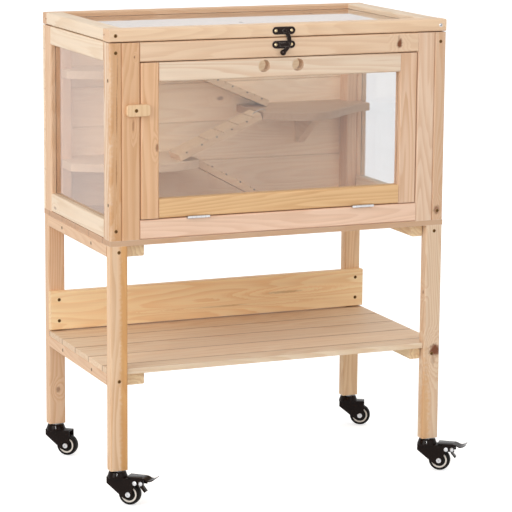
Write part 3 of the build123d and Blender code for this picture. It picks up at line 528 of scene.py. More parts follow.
dress(
    "leg_front_right", "front right leg", "z", (230, 202, 172), peach_line,
    knots=[(on_front("leg_front_right", 0.008, 0.284), 0.016, 0.015, 1.0),
           (on_front("leg_front_right", 0.004, 0.266), 0.006, 0.020, 0.35),
           (on_front("leg_front_right", -0.019, 0.420, inward=0.010), 0.004, 0.006, 0.7)],
    heart=(on_front("leg_front_right", -0.020, 0.100, inward=-0.004), 0.020, 0.190, 0.8, (218, 168, 114)),
)
dress(
    "leg_front_left", "front left leg", "z", (231, 196, 160), amber_line,
    heart=(on_front("leg_front_left", 0.014, 0.326), 0.012, 2.0, 0.9, (216, 160, 96)),
)
rear_leg = middle("leg_rear_left")
dress(
    "leg_rear_left", "rear left leg", "z", peach, amber_line,
    knots=[((rear_leg.x + 0.002, rear_leg.y - 0.0135, 0.158), 0.006, 0.008, 0.6)],
)
dress("leg_rear_right", "rear right leg", "z", (238, 204, 164), peach_line)
dress("stand_side_rails", "stand rails", "y", peach, peach_line)
dress("board_cleats", "cleats", "y", (254, 230, 188), peach_line)
dress(
    "shelf_boards", "shelf boards", "x", (242, 218, 188), (220, 178, 134), strength=0.45, spread=0.26,
    board_size=(10, board_pitch, 10),
    first_board=(-5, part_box("shelf_boards")[0].y + first_shelf_board, -5),
    seam=0.6, seam_width=0.004,
)
back_board = middle("shelf_back_board")
back_board_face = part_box("shelf_back_board")[0].y
# The back board's very pale colour is partly the wood and partly painted light that lifts the shadow it sits
# in.
dress(
    "shelf_back_board", "shelf back board", "x", (254, 224, 178), (236, 182, 122), strength=0.45,
    knots=[((back_board.x + 0.19, back_board_face, back_board.z + 0.003), 0.0035, 0.050, 0.30),
           ((back_board.x + 0.03, back_board_face, back_board.z - 0.02), 0.0025, 0.070, 0.18)],
)
print("pieces of pine in the stand:", len(pines))

# %% [markdown]
# ## The wood of the cage
#
# The back wall is the palest wood, and the bottom rail of the door the yellowest. Long narrow knots on the
# left corner post stand for its dark streaks, and a band of heartwood runs down its front. The paler wood
# beside the band is partly painted light, for the stronger light on the post's left side.

# %% Finish the cage
first_floor_board = 0.051
wall_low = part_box("back_wall_boards")[0]
dress(
    "floor_boards", "floor boards", "x", (208, 171, 139), peach_line,
    board_size=(10, board_pitch, 10), first_board=(-5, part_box("floor_boards")[0].y + first_floor_board, -5),
)
dress(
    "back_wall_boards", "back wall", "x", (254, 233, 204), (234, 198, 160), strength=0.30, spread=0.10,
    board_size=(10, 10, board_pitch), first_board=(-5, -5, wall_low.z), seam=0.22,
    knots=[((0.034, wall_low.y, 0.828), 0.005, 0.009, 0.55), ((-0.18, wall_low.y, 0.70), 0.004, 0.007, 0.4)],
)
# The paler base colour keeps the left side lighter than the front: partly the wood, partly painted light.
post_heart = on_front("post_front_left", 0.010, middle("post_front_left").z, inward=-0.012)
dress(
    "post_front_left", "front post left", "z", (230, 204, 178), amber_line, strength=0.7,
    knots=[(on_front("post_front_left", 0.002, 0.86), 0.0016, 0.055, 0.45),
           (on_front("post_front_left", 0.004, 0.95), 0.0014, 0.040, 0.35),
           (on_front("post_front_left", 0.001, 0.735), 0.0016, 0.035, 0.40)],
    heart=(post_heart, 0.037, 3.0, 1.0, (216, 172, 130)),
)
dress(
    "post_front_right", "front post right", "z", (220, 184, 152), peach_line,
    knots=[(on_front("post_front_right", -0.002, 0.611), 0.008, 0.011, 0.75)],
)
dress(
    "front_stile_left", "front stile left", "z", (222, 178, 138), amber_line,
    knots=[(on_front("front_stile_left", 0.005, 0.837), 0.0025, 0.012, 0.45),
           (on_front("front_stile_left", 0.008, 0.984), 0.002, 0.003, 0.8)],
)
dress("front_stile_right", "front stile right", "z", (234, 202, 174), peach_line)
dress(
    "door_stile_left", "door stile left", "z", (230, 186, 146), amber_line,
    knots=[(on_front("door_stile_left", 0.016, 0.787), 0.0035, 0.010, 0.7)],
)
dress("door_stile_right", "door stile right", "z", (232, 196, 166), amber_line)
for side in ("left", "right"):
    dress("post_rear_" + side, "rear post " + side, "z", peach, peach_line)
dress(
    "side_frame_rails", "side rails", "y", cream, cream_line,
    knots=[((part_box("side_frame_rails")[0].x, 0.150, 0.600), 0.004, 0.010, 0.5)],
)
dress("rear_battens", "battens", "z", peach, peach_line)
top_rail = middle("front_top_rail")
dress(
    "front_top_rail", "front top rail", "x", (234, 202, 170), peach_line, strength=0.3,
    knots=[((0.284, front_face, top_rail.z - 0.001), 0.012, 0.007, 1.0),
           ((0.282, front_face, top_rail.z + 0.010), 0.007, 0.003, 0.45)],
)
dress("front_bottom_rail", "front bottom rail", "x", (243, 206, 179), peach_line, strength=0.28)
dress("door_top_rail", "door top rail", "x", (234, 211, 186), peach_line)
dress("door_bottom_rail", "door bottom rail", "x", (230, 188, 138), amber_line)
dress("turn_button", "turn button", "z", (233, 198, 156), peach_line)
dress("lid_front_rail", "lid front rail", "x", (238, 205, 170), peach_line, strength=0.22)
dress("lid_rear_rail", "lid rear rail", "x", peach, peach_line)
for side in ("left", "right"):
    dress("lid_side_rail_" + side, "lid side rail " + side, "y", cream, cream_line)
for level in ("platform_lower_left", "platform_upper_left"):
    dress(level, level, "x", (232, 208, 180), (208, 174, 142))
# The right platform is painted darker than the other two: painted shade for the shadow it sits in.
dress("platform_right", "platform_right", "x", (194, 162, 132), (172, 134, 100))
for ramp in ("ramp_lower", "ramp_middle", "ramp_upper"):
    dress(ramp, ramp, "x", (228, 200, 166), (210, 170, 130))
dress("platform_bracket", "bracket", "y", cream, cream_line)
print("pieces of pine:", len(pines))

# %% [markdown]
# ## Clear panes
#
# The panes are acrylic sheet, 3 mm thick. It bends light as glass does, mirrors its surroundings at a low
# angle, and carries a faint haze of fine wipe marks. Light for the wood inside has to get through, so
# rays from the lamps and from other surfaces meet a clear shader in place of the sheet. It holds back a
# little of the light, as real sheet does.

# %% Make the acrylic
light_let_in = (0.93, 0.92, 0.90, 1)


def acrylic(name, tint):
    """Clear sheet that carries wipe marks and lets the lamps' light through."""
    material, tree, shader = surface(name, {
        "Base Color": linear(*tint), "Transmission Weight": 0.975, "IOR": 1.49,
    })
    wipes = noise(tree, own_place(tree), scale=9.0, detail=4.0, distortion=1.2)
    haze = between(tree, wipes, low=0.35, high=0.7, out_low=0.015, out_high=0.05)
    fill(tree, shader, {"Roughness": haze})
    ray = place(tree, "ShaderNodeLightPath").outputs
    lets_through = place(tree, "ShaderNodeBsdfTransparent", {"Color": light_let_in})
    mixed = place(tree, "ShaderNodeMixShader", {
        0: maths(tree, "MAXIMUM", ray["Is Shadow Ray"], ray["Is Diffuse Ray"]),
        1: shader.outputs["BSDF"],
        2: lets_through.outputs["BSDF"],
    })
    fill(tree, tree.nodes["Material Output"], {"Surface": mixed.outputs["Shader"]})
    return material


# The sheets are alike; the greyer and warmer tints of the lid and side panes are painted shade and painted
# reflection of the wood, set pane by pane.
finish_node("door_pane", acrylic("door acrylic", (250, 249, 250)))
finish_node("lid_pane", acrylic("lid acrylic", (234, 225, 221)))
finish_node("side_pane_left", acrylic("left side acrylic", (236, 220, 209)))
finish_node("side_pane_right", acrylic("right side acrylic", (228, 232, 234)))
print("panes finished")

# %% [markdown]
# ## Metals and rubber
#
# Six more finishes share one recipe: bright zinc on the bolts and hinges, dark nickel on the swing latch,
# black enamel on the casters, the rubber of the tyres, and the cream ring and black plastic of the hubs.
# Zinc plate is cloudy, so its roughness wanders. The pale edges of the enamel and the nickel are painted
# highlights for the lamps' glints along their arrises, and rubber picks up a little dust.

# %% Make the metals and the rubber
cloud_shade = 0.8
edge_breaks = 220.0
wear_and_highlight_share = 0.6
metal_grit = 0.00003


def metal(name, main, wear_and_highlight_colour, roughness, edge_width, metallic=1.0, sheen=0.5):
    """Plated or enamelled metal whose edges turn another colour: wear on some metals, a painted highlight on
    the dark nickel and the black enamel. roughness is (least, most).
    """
    material, tree, shader = surface(name, {"Metallic": metallic, "Specular IOR Level": sheen})
    spot_on = own_place(tree)
    clouds = noise(tree, spot_on, scale=60.0, detail=3.0)
    grit = noise(tree, spot_on, scale=1400.0, detail=1.0)
    edge = place(tree, "ShaderNodeGroup", {"Width": edge_width, "Breaks": edge_breaks}, node_tree=edge_tree)
    cloudy = between(tree, clouds, low=0.3, high=0.7, out_high=0.25)
    shade = blended(tree, cloudy, linear(*main), linear(*[part * cloud_shade for part in main]))
    # Share of the edge colour: painted highlight on the nickel and the enamel, wear on the other metals.
    worn = maths(tree, "MULTIPLY", edge.outputs["Edge mask"], wear_and_highlight_share)
    fill(tree, shader, {
        "Base Color": blended(tree, worn, shade, linear(*wear_and_highlight_colour)),
        "Roughness": between(tree, clouds, 0.25, 0.75, *roughness),
    })
    add_bump(tree, shader, grit, metal_grit)
    return material


zinc = metal("zinc plate", (206, 206, 208), (226, 226, 228), (0.22, 0.42), edge_width=0.0005)
# The pale edge colours of the dark nickel and the black enamel are painted highlights.
dark_nickel = metal("dark nickel", (44, 36, 34), (240, 230, 220), (0.12, 0.24), edge_width=0.0012)
black_enamel = metal("black enamel", (26, 15, 11), (76, 66, 60), (0.10, 0.20), edge_width=0.0005,
                     metallic=0.0, sheen=0.10)
tyre_rubber = metal("tyre rubber", (18, 13, 11), (52, 46, 42), (0.40, 0.58), edge_width=0.0010,
                    metallic=0.0, sheen=0.12)
hub_ring = metal("cream hub ring", (240, 230, 218), (246, 240, 232), (0.35, 0.5), edge_width=0.0006,
                 metallic=0.0)
hub_black = metal("hub plastic", (16, 14, 13), (56, 52, 48), (0.35, 0.5), edge_width=0.0006,
                  metallic=0.0, sheen=0.2)

for node in ("cage_hinge_leaves", "door_hinge_leaves", "lid_hinge_leaves", "caster_stems"):
    finish_node(node, zinc)
for node in ("latch_plate", "latch_catch", "latch_hook"):
    finish_node(node, dark_nickel)
front_corners = ("front_left", "front_right")
corners = (*front_corners, "rear_left", "rear_right")
for corner in corners:
    finish_node("caster_fork_" + corner, black_enamel)
    finish_node("caster_wheel_" + corner, tyre_rubber)
for corner in front_corners:
    finish_node("brake_pedal_" + corner, black_enamel)
print("metals finished")

# %% [markdown]
# ## Finding the small parts
#
# The joiner keeps the wood screws in two pieces of the model, one for the frame and stand and one for the
# lid. Welding a copy of such a piece and walking from point to point along the edges gives each screw by
# itself. Its longest side is its axis, and the end that is wider is its head, so the model itself says where
# every head sits and which way it faces.

# %% Helpers that read the model
weld = 0.00001
end_slice = 0.001


def welded(node):
    """A copy of a joiner's piece with its loose triangles joined up."""
    shape = bmesh.new()
    shape.from_mesh(nodes[node].data)
    bmesh.ops.remove_doubles(shape, verts=shape.verts, dist=weld)
    return shape


def separate_parts(shape):
    """The points of each separate part of a welded shape, always in the same order."""
    waiting = set(shape.verts)
    parts = []
    for first in shape.verts:
        if first not in waiting:
            continue
        waiting.discard(first)
        front_line = [first]
        part = [first]
        while front_line:
            found = []
            for point in front_line:
                for edge in point.link_edges:
                    other = edge.other_vert(point)
                    if other in waiting:
                        waiting.discard(other)
                        found.append(other)
            part += found
            front_line = found
        parts.append(part)
    return parts


def screw_heads(node):
    """Middle of the head's face and the way it faces, for each screw of a piece."""
    shape = welded(node)
    heads = []
    for part in separate_parts(shape):
        spots = np.array([point.co for point in part])
        low, high = spots.min(0), spots.max(0)
        axis = int(np.argmax(high - low))
        centre = (low + high) / 2
        radial = np.linalg.norm(np.delete(spots - centre, axis, 1), axis=1)
        near_high = radial[spots[:, axis] > high[axis] - end_slice].max()
        near_low = radial[spots[:, axis] < low[axis] + end_slice].max()
        side = 1 if near_high > near_low else -1
        centre[axis] = high[axis] if side > 0 else low[axis]
        facing_way = np.zeros(3)
        facing_way[axis] = side
        heads.append((Vector(centre), Vector(facing_way)))
    shape.free()
    return heads


frame_heads = screw_heads("frame_screws")
lid_heads = screw_heads("lid_screws")
print("screws in the frame and stand:", len(frame_heads), "in the lid:", len(lid_heads))

# %% [markdown]
# ## Screw heads, rivets and nails
#
# A screw head is a low cone with a cross pressed into it. One node tree makes the head, cuts the cross, sets
# a copy on each point of a cloud with its axis along the way the point faces, and gives each a turn of
# its own, since no joiner lines up the crosses. The same tree makes a plain rivet when the cross is shallow
# and narrow. Real geometry is needed in the end, so the copies are made real and become a plain mesh.

# %% Make the fastener tree
head_sides = 20
head_seed = 7
# Length of the cross as a share of the rim's radius
cross_reach = 1.3


def fastener_tree():
    """Heads with a cross, set on the points of the mesh that the tree is given."""
    tree = bpy.data.node_groups.new("fasteners", "GeometryNodeTree")
    tree.interface.new_socket("Geometry", in_out="INPUT", socket_type="NodeSocketGeometry")
    for label in ("Head radius", "Rim radius", "Head height", "Cross width", "Cross depth"):
        tree.interface.new_socket(label, in_out="INPUT", socket_type=number)
    tree.interface.new_socket("Seed", in_out="INPUT", socket_type="NodeSocketInt")
    tree.interface.new_socket("Finish", in_out="INPUT", socket_type="NodeSocketMaterial")
    tree.interface.new_socket("Geometry", in_out="OUTPUT", socket_type="NodeSocketGeometry")
    given = tree.nodes.new("NodeGroupInput").outputs
    result = tree.nodes.new("NodeGroupOutput")
    head = place(tree, "GeometryNodeMeshCone", {
        "Vertices": head_sides, "Radius Top": given["Rim radius"], "Radius Bottom": given["Head radius"],
        "Depth": given["Head height"],
    })
    long_side = maths(tree, "MULTIPLY", given["Rim radius"], cross_reach)
    deep = maths(tree, "MULTIPLY", given["Cross depth"], 2.0)
    cutter = place(tree, "GeometryNodeJoinGeometry")
    for sides in ((long_side, given["Cross width"]), (given["Cross width"], long_side)):
        size = place(tree, "ShaderNodeCombineXYZ", {"X": sides[0], "Y": sides[1], "Z": deep})
        bar = place(tree, "GeometryNodeMeshCube", {"Size": size.outputs[0]})
        tree.links.new(bar.outputs["Mesh"], cutter.inputs["Geometry"])
    lift = place(tree, "ShaderNodeCombineXYZ", {"Z": given["Head height"]})
    lifted = place(tree, "GeometryNodeTransform", {
        "Geometry": cutter.outputs[0], "Translation": lift.outputs[0],
    })
    crossed = place(tree, "GeometryNodeMeshBoolean", {
        "Self Intersection": True, "Mesh 1": head.outputs["Mesh"], "Mesh 2": lifted.outputs[0],
    }, operation="DIFFERENCE", solver="EXACT")
    faces = place(tree, "GeometryNodeInputNamedAttribute", {"Name": "facing"}, data_type="FLOAT_VECTOR")
    aimed = place(tree, "FunctionNodeAlignRotationToVector", {"Vector": faces.outputs[0]}, axis="Z")
    turn = place(tree, "FunctionNodeRandomValue", {"Seed": given["Seed"], 3: math.tau})
    spin = place(tree, "FunctionNodeAxisAngleToRotation", {"Axis": (0, 0, 1), "Angle": turn.outputs[1]})
    turned = place(tree, "FunctionNodeRotateRotation", {
        "Rotation": aimed.outputs[0], "Rotate By": spin.outputs[0],
    }, rotation_space="LOCAL")
    copies = place(tree, "GeometryNodeInstanceOnPoints", {
        "Points": given["Geometry"], "Instance": crossed.outputs[0], "Rotation": turned.outputs[0],
    })
    real = place(tree, "GeometryNodeRealizeInstances", {"Geometry": copies.outputs[0]})
    painted = place(tree, "GeometryNodeSetMaterial", {
        "Geometry": real.outputs[0], "Material": given["Finish"],
    })
    tree.links.new(painted.outputs[0], result.inputs[0])
    return tree


def mesh_of(maker):
    """The mesh that an object's modifiers or settings make of it. The object itself goes away."""
    mesh = bpy.data.meshes.new_from_object(maker.evaluated_get(bpy.context.evaluated_depsgraph_get()))
    bpy.data.objects.remove(maker)
    return mesh


def plain_piece(name, mesh, body):
    """Puts a finished mesh in the scene and hangs it on a body."""
    mesh.name = name
    piece = put_in_scene(name, mesh)
    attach(piece, body)
    return piece


def add_fasteners(name, body, spots, finish, radius, rim, height, cross, depth):
    """Sets heads on the given (place, way) spots, turns them into a plain mesh and hangs it on a body."""
    cloud = bpy.data.meshes.new(name + "_points")
    cloud.from_pydata([spot for spot, way in spots], [], [])
    facing_data = cloud.attributes.new("facing", "FLOAT_VECTOR", "POINT")
    facing_data.data.foreach_set("vector", [part for spot, way in spots for part in way])
    maker = put_in_scene(name + "_maker", cloud)
    modifier = maker.modifiers.new("fasteners", "NODES")
    modifier.node_group = fasteners
    values = {"Head radius": radius, "Rim radius": rim, "Head height": height, "Cross width": cross,
              "Cross depth": depth, "Seed": head_seed, "Finish": finish}
    for item in fasteners.interface.items_tree:
        if item.in_out == "INPUT" and item.name in values:
            modifier[item.identifier] = values[item.name]
    piece = plain_piece(name, mesh_of(maker), body)
    print(name, "heads:", len(spots), "faces:", len(piece.data.polygons))


fasteners = fastener_tree()
print("fastener tree ready:", len(fasteners.nodes), "nodes")

# %% [markdown]
# ## Wood screws
#
# The screws sit a little below the wood and have browned, so their heads are dark. The joiner's screws under
# the heads are painted near black as painted shadow, which shows in the cross recesses. One screw at the
# right end of the lid is newer and still bright.

# %% Set the wood screws
browned_steel = metal("browned screw steel", (112, 80, 48), (176, 146, 100), (0.30, 0.50), edge_width=0.0006)
# Near black that stands for the shadow inside the cross recesses: painted shadow.
recess_painted_shadow = metal("screw recess painted shadow", (34, 24, 16), (60, 44, 28), (0.5, 0.7), edge_width=0.0004)
sunk = 0.00028
new_head = max(lid_heads, key=lambda head: head[0].x - head[0].y)
old_heads = [head for head in lid_heads if head is not new_head]
for name, body, heads, finish in (
    ("frame_screw_heads", "cage", frame_heads, browned_steel),
    ("lid_screw_heads", "lid", old_heads, browned_steel),
    ("lid_new_screw_head", "lid", [new_head], zinc),
):
    add_fasteners(name, body, heads, finish,
                  radius=0.0040, rim=0.0036, height=sunk * 0.9, cross=0.0011, depth=sunk)
# The joiner's screws show only through the crosses, painted dark as the shadow in the recess.
for node in ("frame_screws", "lid_screws"):
    finish_node(node, recess_painted_shadow)
print("screws set:", len(frame_heads) + len(lid_heads))

# %% [markdown]
# ## Softened steel
#
# Pressed steel has no knife edges. A copy of the joiner's shape is welded, its flat faces are joined up, and
# a Bevel modifier rolls every sharp edge by half a millimetre, so that the edges catch a thin line of light.
# The copy then stands in for the joiner's piece. Where one piece of the model holds a bolt as well,
# the bolt's faces get their own metal.

# %% Make softened copies of the steel parts
nearly_flat = math.radians(0.5)
roll_from = math.radians(35)
crease_from = math.radians(40)
bolt_top = 0.040
caster_roll = 0.0005
latch_roll = 0.0004


def softened(node, body, roll, finishes, choose=None):
    """A rolled-edge copy of a piece. choose picks one of the finishes for each separate part."""
    shape = welded(node)
    bmesh.ops.dissolve_limit(shape, angle_limit=nearly_flat, verts=shape.verts, edges=shape.edges)
    for part in separate_parts(shape):
        spots = np.array([point.co for point in part])
        pick = choose(spots) if choose else 0
        for face in {face for point in part for face in point.link_faces}:
            face.material_index = pick
    mesh = bpy.data.meshes.new(node + "_rolled")
    shape.to_mesh(mesh)
    shape.free()
    for material in finishes:
        mesh.materials.append(material)
    maker = put_in_scene(node + "_maker", mesh)
    rolled = maker.modifiers.new("rolled edges", "BEVEL")
    rolled.width = roll
    rolled.segments = 2
    rolled.limit_method = "ANGLE"
    rolled.angle_limit = roll_from
    done = mesh_of(maker)
    done.shade_smooth()
    done.set_sharp_from_angle(angle=crease_from)
    piece = plain_piece(node + "_soft", done, body)
    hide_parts(node)


def is_bolt(spots):
    """1 for the axle bolt, the part of a fork that stays near the axle's height, and 0 for the fork."""
    return int(spots[:, 2].max() < bolt_top)


for corner in corners:
    fork = "caster_fork_" + corner
    softened(fork, fork, caster_roll, (black_enamel, zinc), is_bolt)
for corner in front_corners:
    pedal = "brake_pedal_" + corner
    softened(pedal, pedal, caster_roll, (black_enamel,))
for node, body in (("latch_plate", "lid"), ("latch_catch", "cage"), ("latch_hook", "latch_hook")):
    softened(node, body, latch_roll, (dark_nickel,))
print("steel parts softened")

# %% [markdown]
# ## Wheels
#
# A caster wheel is moulded in two goes: a hard hub with a raised cream ring, then a soft tyre round it with a
# crowned tread. Everything on it is round, so one outline from the bore to the tread, turned about the
# axle, makes each half. The outline carries its own finish for each stretch.

# %% Turn the wheels
# Points from the bore to the middle of the tread: radius, distance from the middle plane, finish after it
wheel_outline = (
    (0.00315, 0.0097, "hub"),
    (0.0068, 0.0097, "hub"),
    (0.0075, 0.0090, "hub"),
    (0.0080, 0.0072, "hub"),
    (0.0140, 0.0070, "hub"),
    (0.0146, 0.0080, "ring"),
    (0.0152, 0.0093, "ring"),
    (0.0179, 0.0093, "ring"),
    (0.0185, 0.0084, "tyre"),
    (0.0191, 0.0092, "tyre"),
    (0.0205, 0.0096, "tyre"),
    (0.0228, 0.0090, "tyre"),
    (0.0240, 0.0076, "tyre"),
    (0.0247, 0.0050, "tyre"),
    (0.025, 0.0, "tyre"),
)
wheel_finishes = {"hub": hub_black, "ring": hub_ring, "tyre": tyre_rubber}
turn_steps = 64
wheel_crease = math.radians(50)
straight_up = Vector((0, 0, 1))


def turned_wheel(name, centre, axle):
    """Both halves of a wheel turned about its axle."""
    forward = axle.cross(straight_up).normalized()
    half = list(wheel_outline)
    outline = half + [(radius, -out, finish) for radius, out, finish in reversed(half[:-1])]
    shape = bmesh.new()
    rings = []
    for step in range(turn_steps):
        angle = math.tau * step / turn_steps
        spoke = forward * math.cos(angle) + straight_up * math.sin(angle)
        rings.append([
            shape.verts.new(centre + spoke * radius + axle * out) for radius, out, finish in outline
        ])
    names = list(wheel_finishes)
    for here, after in zip(rings, rings[1:] + rings[:1]):
        for place_on in range(len(outline)):
            beyond = (place_on + 1) % len(outline)
            face = shape.faces.new((here[place_on], here[beyond], after[beyond], after[place_on]))
            mirrored = place_on >= len(half) - 1
            finish = outline[beyond if mirrored else place_on][2]
            face.material_index = names.index("hub" if beyond == 0 else finish)
            face.smooth = True
    bmesh.ops.recalc_face_normals(shape, faces=shape.faces)
    mesh = bpy.data.meshes.new(name)
    shape.to_mesh(mesh)
    shape.free()
    for finish in names:
        mesh.materials.append(wheel_finishes[finish])
    mesh.set_sharp_from_angle(angle=wheel_crease)
    return mesh


for corner in corners:
    joint = joints["caster_axle_" + corner]
    mesh = turned_wheel("wheel_" + corner, Vector(joint["pos_m"]), Vector(joint["axis"]).normalized())
    wheel = plain_piece("wheel_" + corner, mesh, "caster_wheel_" + corner)
    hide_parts("caster_wheel_" + corner)
print("wheels turned, faces each:", len(mesh.polygons))

# %% [markdown]
# ## Bolt heads, rivets and latch screws
#
# The axle bolts show a cross head, the brake pedals turn on domed rivets, and the plates of the latch are
# held by small round screws with a brass glint. Their places come from the joints and the latch plates.

# %% Set the small metal heads
brass_glint = metal("worn brass screw", (206, 186, 150), (236, 224, 196), (0.2, 0.35), edge_width=0.0004)
straight_ahead = Vector((0, -1, 0))
bolt_radius = 0.0065
bolt_sink = 0.0001
pin_out = 0.0178
lug_out = 0.0157
rivet_behind_pin = 0.013
plate_thickness = 0.0015
screw_from_end = 0.0085


def both_ways(spot, axle, out):
    """Two spots on an axle, one each side of a place."""
    return [(spot + axle * way * out, axle * way) for way in (1, -1)]


for corner in corners:
    fork = "caster_fork_" + corner
    joint = joints["caster_axle_" + corner]
    axle_at = Vector(joint["pos_m"])
    axle = Vector(joint["axis"]).normalized()
    shape = welded(fork)
    offsets = [point.co - axle_at for point in shape.verts]
    shape.free()
    ends = [offset.dot(axle) for offset in offsets if (offset - axle * offset.dot(axle)).length < bolt_radius]
    bolt_ends = [
        (axle_at + axle * (max(ends) - bolt_sink), axle),
        (axle_at + axle * (min(ends) + bolt_sink), -axle),
    ]
    add_fasteners("axle_bolt_heads_" + corner, fork, bolt_ends, zinc,
                  radius=0.0056, rim=0.0050, height=0.0007, cross=0.0013, depth=0.0006)
    if corner in front_corners:
        trail = axle_at - Vector(joints["caster_swivel_" + corner]["pos_m"])
        trail.z = 0
        trail.normalize()
        pin = Vector(joints["brake_pivot_" + corner]["pos_m"])
        add_fasteners("pedal_pin_heads_" + corner, fork, both_ways(pin, axle, pin_out), zinc,
                      radius=0.0052, rim=0.0030, height=0.0016, cross=0.0004, depth=0.0001)
        rivets = both_ways(pin + trail * rivet_behind_pin, axle, lug_out)
        add_fasteners("pedal_lug_rivets_" + corner, "brake_pedal_" + corner, rivets, zinc,
                      radius=0.0050, rim=0.0030, height=0.0022, cross=0.0004, depth=0.0001)
for node, body in (("latch_plate", "lid"), ("latch_catch", "cage")):
    low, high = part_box(node)
    aside = (high.x - low.x) / 2 - screw_from_end
    plate_face = high.y - plate_thickness
    spots = [
        (Vector((middle(node).x + way * aside, plate_face, middle(node).z)), straight_ahead)
        for way in (-1, 1)
    ]
    add_fasteners(node + "_screws", body, spots, brass_glint,
                  radius=0.0036, rim=0.0022, height=0.0016, cross=0.0008, depth=0.0009)
print("small heads set")

# %% [markdown]
# ## Nails and the platform's hook
#
# Short nails hold the ramps' edging, a row of them near the top edge of each front face. A bent wire holds
# the middle ramp to the right platform, so that it can be lifted out for cleaning.

# %% Drive the nails and bend the hook
nail_steel = metal("nail steel", (58, 48, 42), (96, 86, 78), (0.35, 0.5), edge_width=0.0003)
nail_pitch = 0.0405
nail_height = 0.78
board_depth = 0.016
slope_rounds = 8
wire_thickness = 0.0018


def slope_of(low, high):
    """Angle of a ramp, from the box that its tilted board fills."""
    angle = 0.0
    for _ in range(slope_rounds):
        rise = high.z - low.z - board_depth * math.cos(angle)
        run = high.x - low.x - board_depth * math.sin(angle)
        angle = math.atan2(rise, run)
    return angle


for ramp, rising in (("ramp_lower", -1), ("ramp_middle", 1), ("ramp_upper", -1)):
    low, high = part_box(ramp)
    angle = slope_of(low, high)
    along = Vector((math.cos(angle) * rising, 0, math.sin(angle)))
    square = Vector((-math.sin(angle) * rising, 0, math.cos(angle)))
    foot_x = low.x if rising > 0 else high.x
    foot = Vector((foot_x, low.y, low.z)) + square * board_depth * nail_height
    foot.x += math.sin(angle) * board_depth * rising
    length = (high.z - low.z - board_depth * math.cos(angle)) / math.sin(angle)
    count = int(length / nail_pitch)
    nails = [(foot + along * (nail_pitch * (step + 0.5)), straight_ahead) for step in range(count)]
    add_fasteners(ramp + "_nails", "cage", nails, nail_steel,
                  radius=0.0019, rim=0.0015, height=0.0002, cross=0.0001, depth=0.00005)


def bent_wire(name, points, thickness, finish, body):
    """A round wire through the points, as a plain mesh."""
    line = bpy.data.curves.new(name + "_line", "CURVE")
    line.dimensions = "3D"
    spline = line.splines.new("BEZIER")
    spline.bezier_points.add(len(points) - 1)
    for point, spot_at in zip(spline.bezier_points, points):
        point.co = spot_at
        point.handle_left_type = "AUTO"
        point.handle_right_type = "AUTO"
    line.bevel_depth = thickness / 2
    line.bevel_resolution = 3
    line.use_fill_caps = True
    mesh = mesh_of(put_in_scene(name + "_maker", line))
    mesh.materials.clear()
    mesh.materials.append(finish)
    return plain_piece(name, mesh, body)


ramp_low, ramp_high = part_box("ramp_middle")
platform_low, platform_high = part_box("platform_right")
hook_y = ramp_low.y + 0.020
hook_wire = bent_wire("ramp_hook", [
    Vector((ramp_high.x - 0.020, hook_y, ramp_high.z - 0.0105)),
    Vector((ramp_high.x - 0.016, hook_y, ramp_high.z - 0.0030)),
    Vector((ramp_high.x - 0.008, hook_y, ramp_high.z + 0.0010)),
    Vector((platform_low.x + 0.004, hook_y, platform_high.z + 0.0045)),
    Vector((platform_low.x + 0.012, hook_y, platform_high.z + 0.0040)),
    Vector((platform_low.x + 0.015, hook_y, platform_high.z - 0.0020)),
], wire_thickness, zinc, "cage")
print("hook faces:", len(hook_wire.data.polygons))

# %% [markdown]
# ## Light and surroundings
#
# A studio of white paper: one large soft lamp on the left, a weaker one in front, and an even white sky.
# The sky lights the wood at a plain level, while the eye, the mirrors and the clear panes see it pure white.
# The floor does the same and keeps the soft shadow of the cage. A third lamp shows only in mirrors: it puts
# the small glints on the metal.

# %% Put up the sky, the floor and the lamps
white = (1, 1, 1, 1)
sky_light = 0.80
paper_brightness = 0.72
paper_glow = 0.62
paper_reach = 14.0
paper_gap = 0.0005


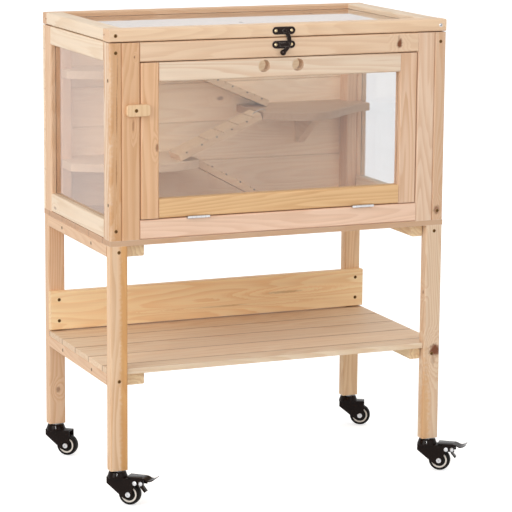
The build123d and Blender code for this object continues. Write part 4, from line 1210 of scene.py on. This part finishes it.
def seen_directly(tree):
    """1 where the eye, a mirror or a clear pane looks, and 0 for the light that bounces about."""
    ray = place(tree, "ShaderNodeLightPath").outputs
    mirror = maths(tree, "MAXIMUM", ray["Is Glossy Ray"], ray["Is Transmission Ray"])
    return maths(tree, "MAXIMUM", ray["Is Camera Ray"], mirror)


world = bpy.data.worlds.new("white studio")
world.use_nodes = True
bpy.context.scene.world = world
sky = world.node_tree
sky.nodes.clear()
lighting = place(sky, "ShaderNodeBackground", {"Color": white, "Strength": sky_light})
seen = place(sky, "ShaderNodeBackground", {"Color": white, "Strength": 1.0})
sky_mix = place(sky, "ShaderNodeMixShader", {
    0: seen_directly(sky), 1: lighting.outputs[0], 2: seen.outputs[0],
})
place(sky, "ShaderNodeOutputWorld", {"Surface": sky_mix.outputs[0]})

floor_material, floor_tree, floor_shader = surface("white paper", {
    "Base Color": (paper_brightness,) * 3 + (1,), "Roughness": 0.9, "Specular IOR Level": 0.0,
    "Emission Color": white,
})
fill(floor_tree, floor_shader, {
    "Emission Strength": maths(floor_tree, "MULTIPLY", seen_directly(floor_tree), paper_glow),
})
paper = bpy.data.meshes.new("paper floor")
paper_corners = ((-1, -1), (1, -1), (1, 1), (-1, 1))
paper.from_pydata(
    [(x * paper_reach, y * paper_reach, cad_low.z - paper_gap) for x, y in paper_corners],
    [],
    [(0, 1, 2, 3)],
)
paper.materials.append(floor_material)
floor = put_in_scene("paper_floor", paper)


def soft_lamp(name, stand, aim, size, power):
    """A square soft lamp that looks at a point."""
    light = bpy.data.lights.new(name, "AREA")
    light.shape = "SQUARE"
    light.size = size
    light.energy = power
    lamp = put_in_scene(name, light)
    lamp.location = stand
    lamp.rotation_euler = (Vector(aim) - Vector(stand)).to_track_quat("-Z", "Y").to_euler()
    lamp.visible_camera = False
    return lamp


cage_middle = (cad_low + cad_high) / 2
soft_lamp("left lamp", (-3.4, -1.6, 2.2), cage_middle, size=2.2, power=55)
soft_lamp("front lamp", (1.2, -3.6, 2.0), cage_middle, size=2.0, power=10)
glint = soft_lamp("glint lamp", (-2.0, -3.4, 2.6), cage_middle, size=0.5, power=160)
glint.visible_diffuse = False
print("lamps up")
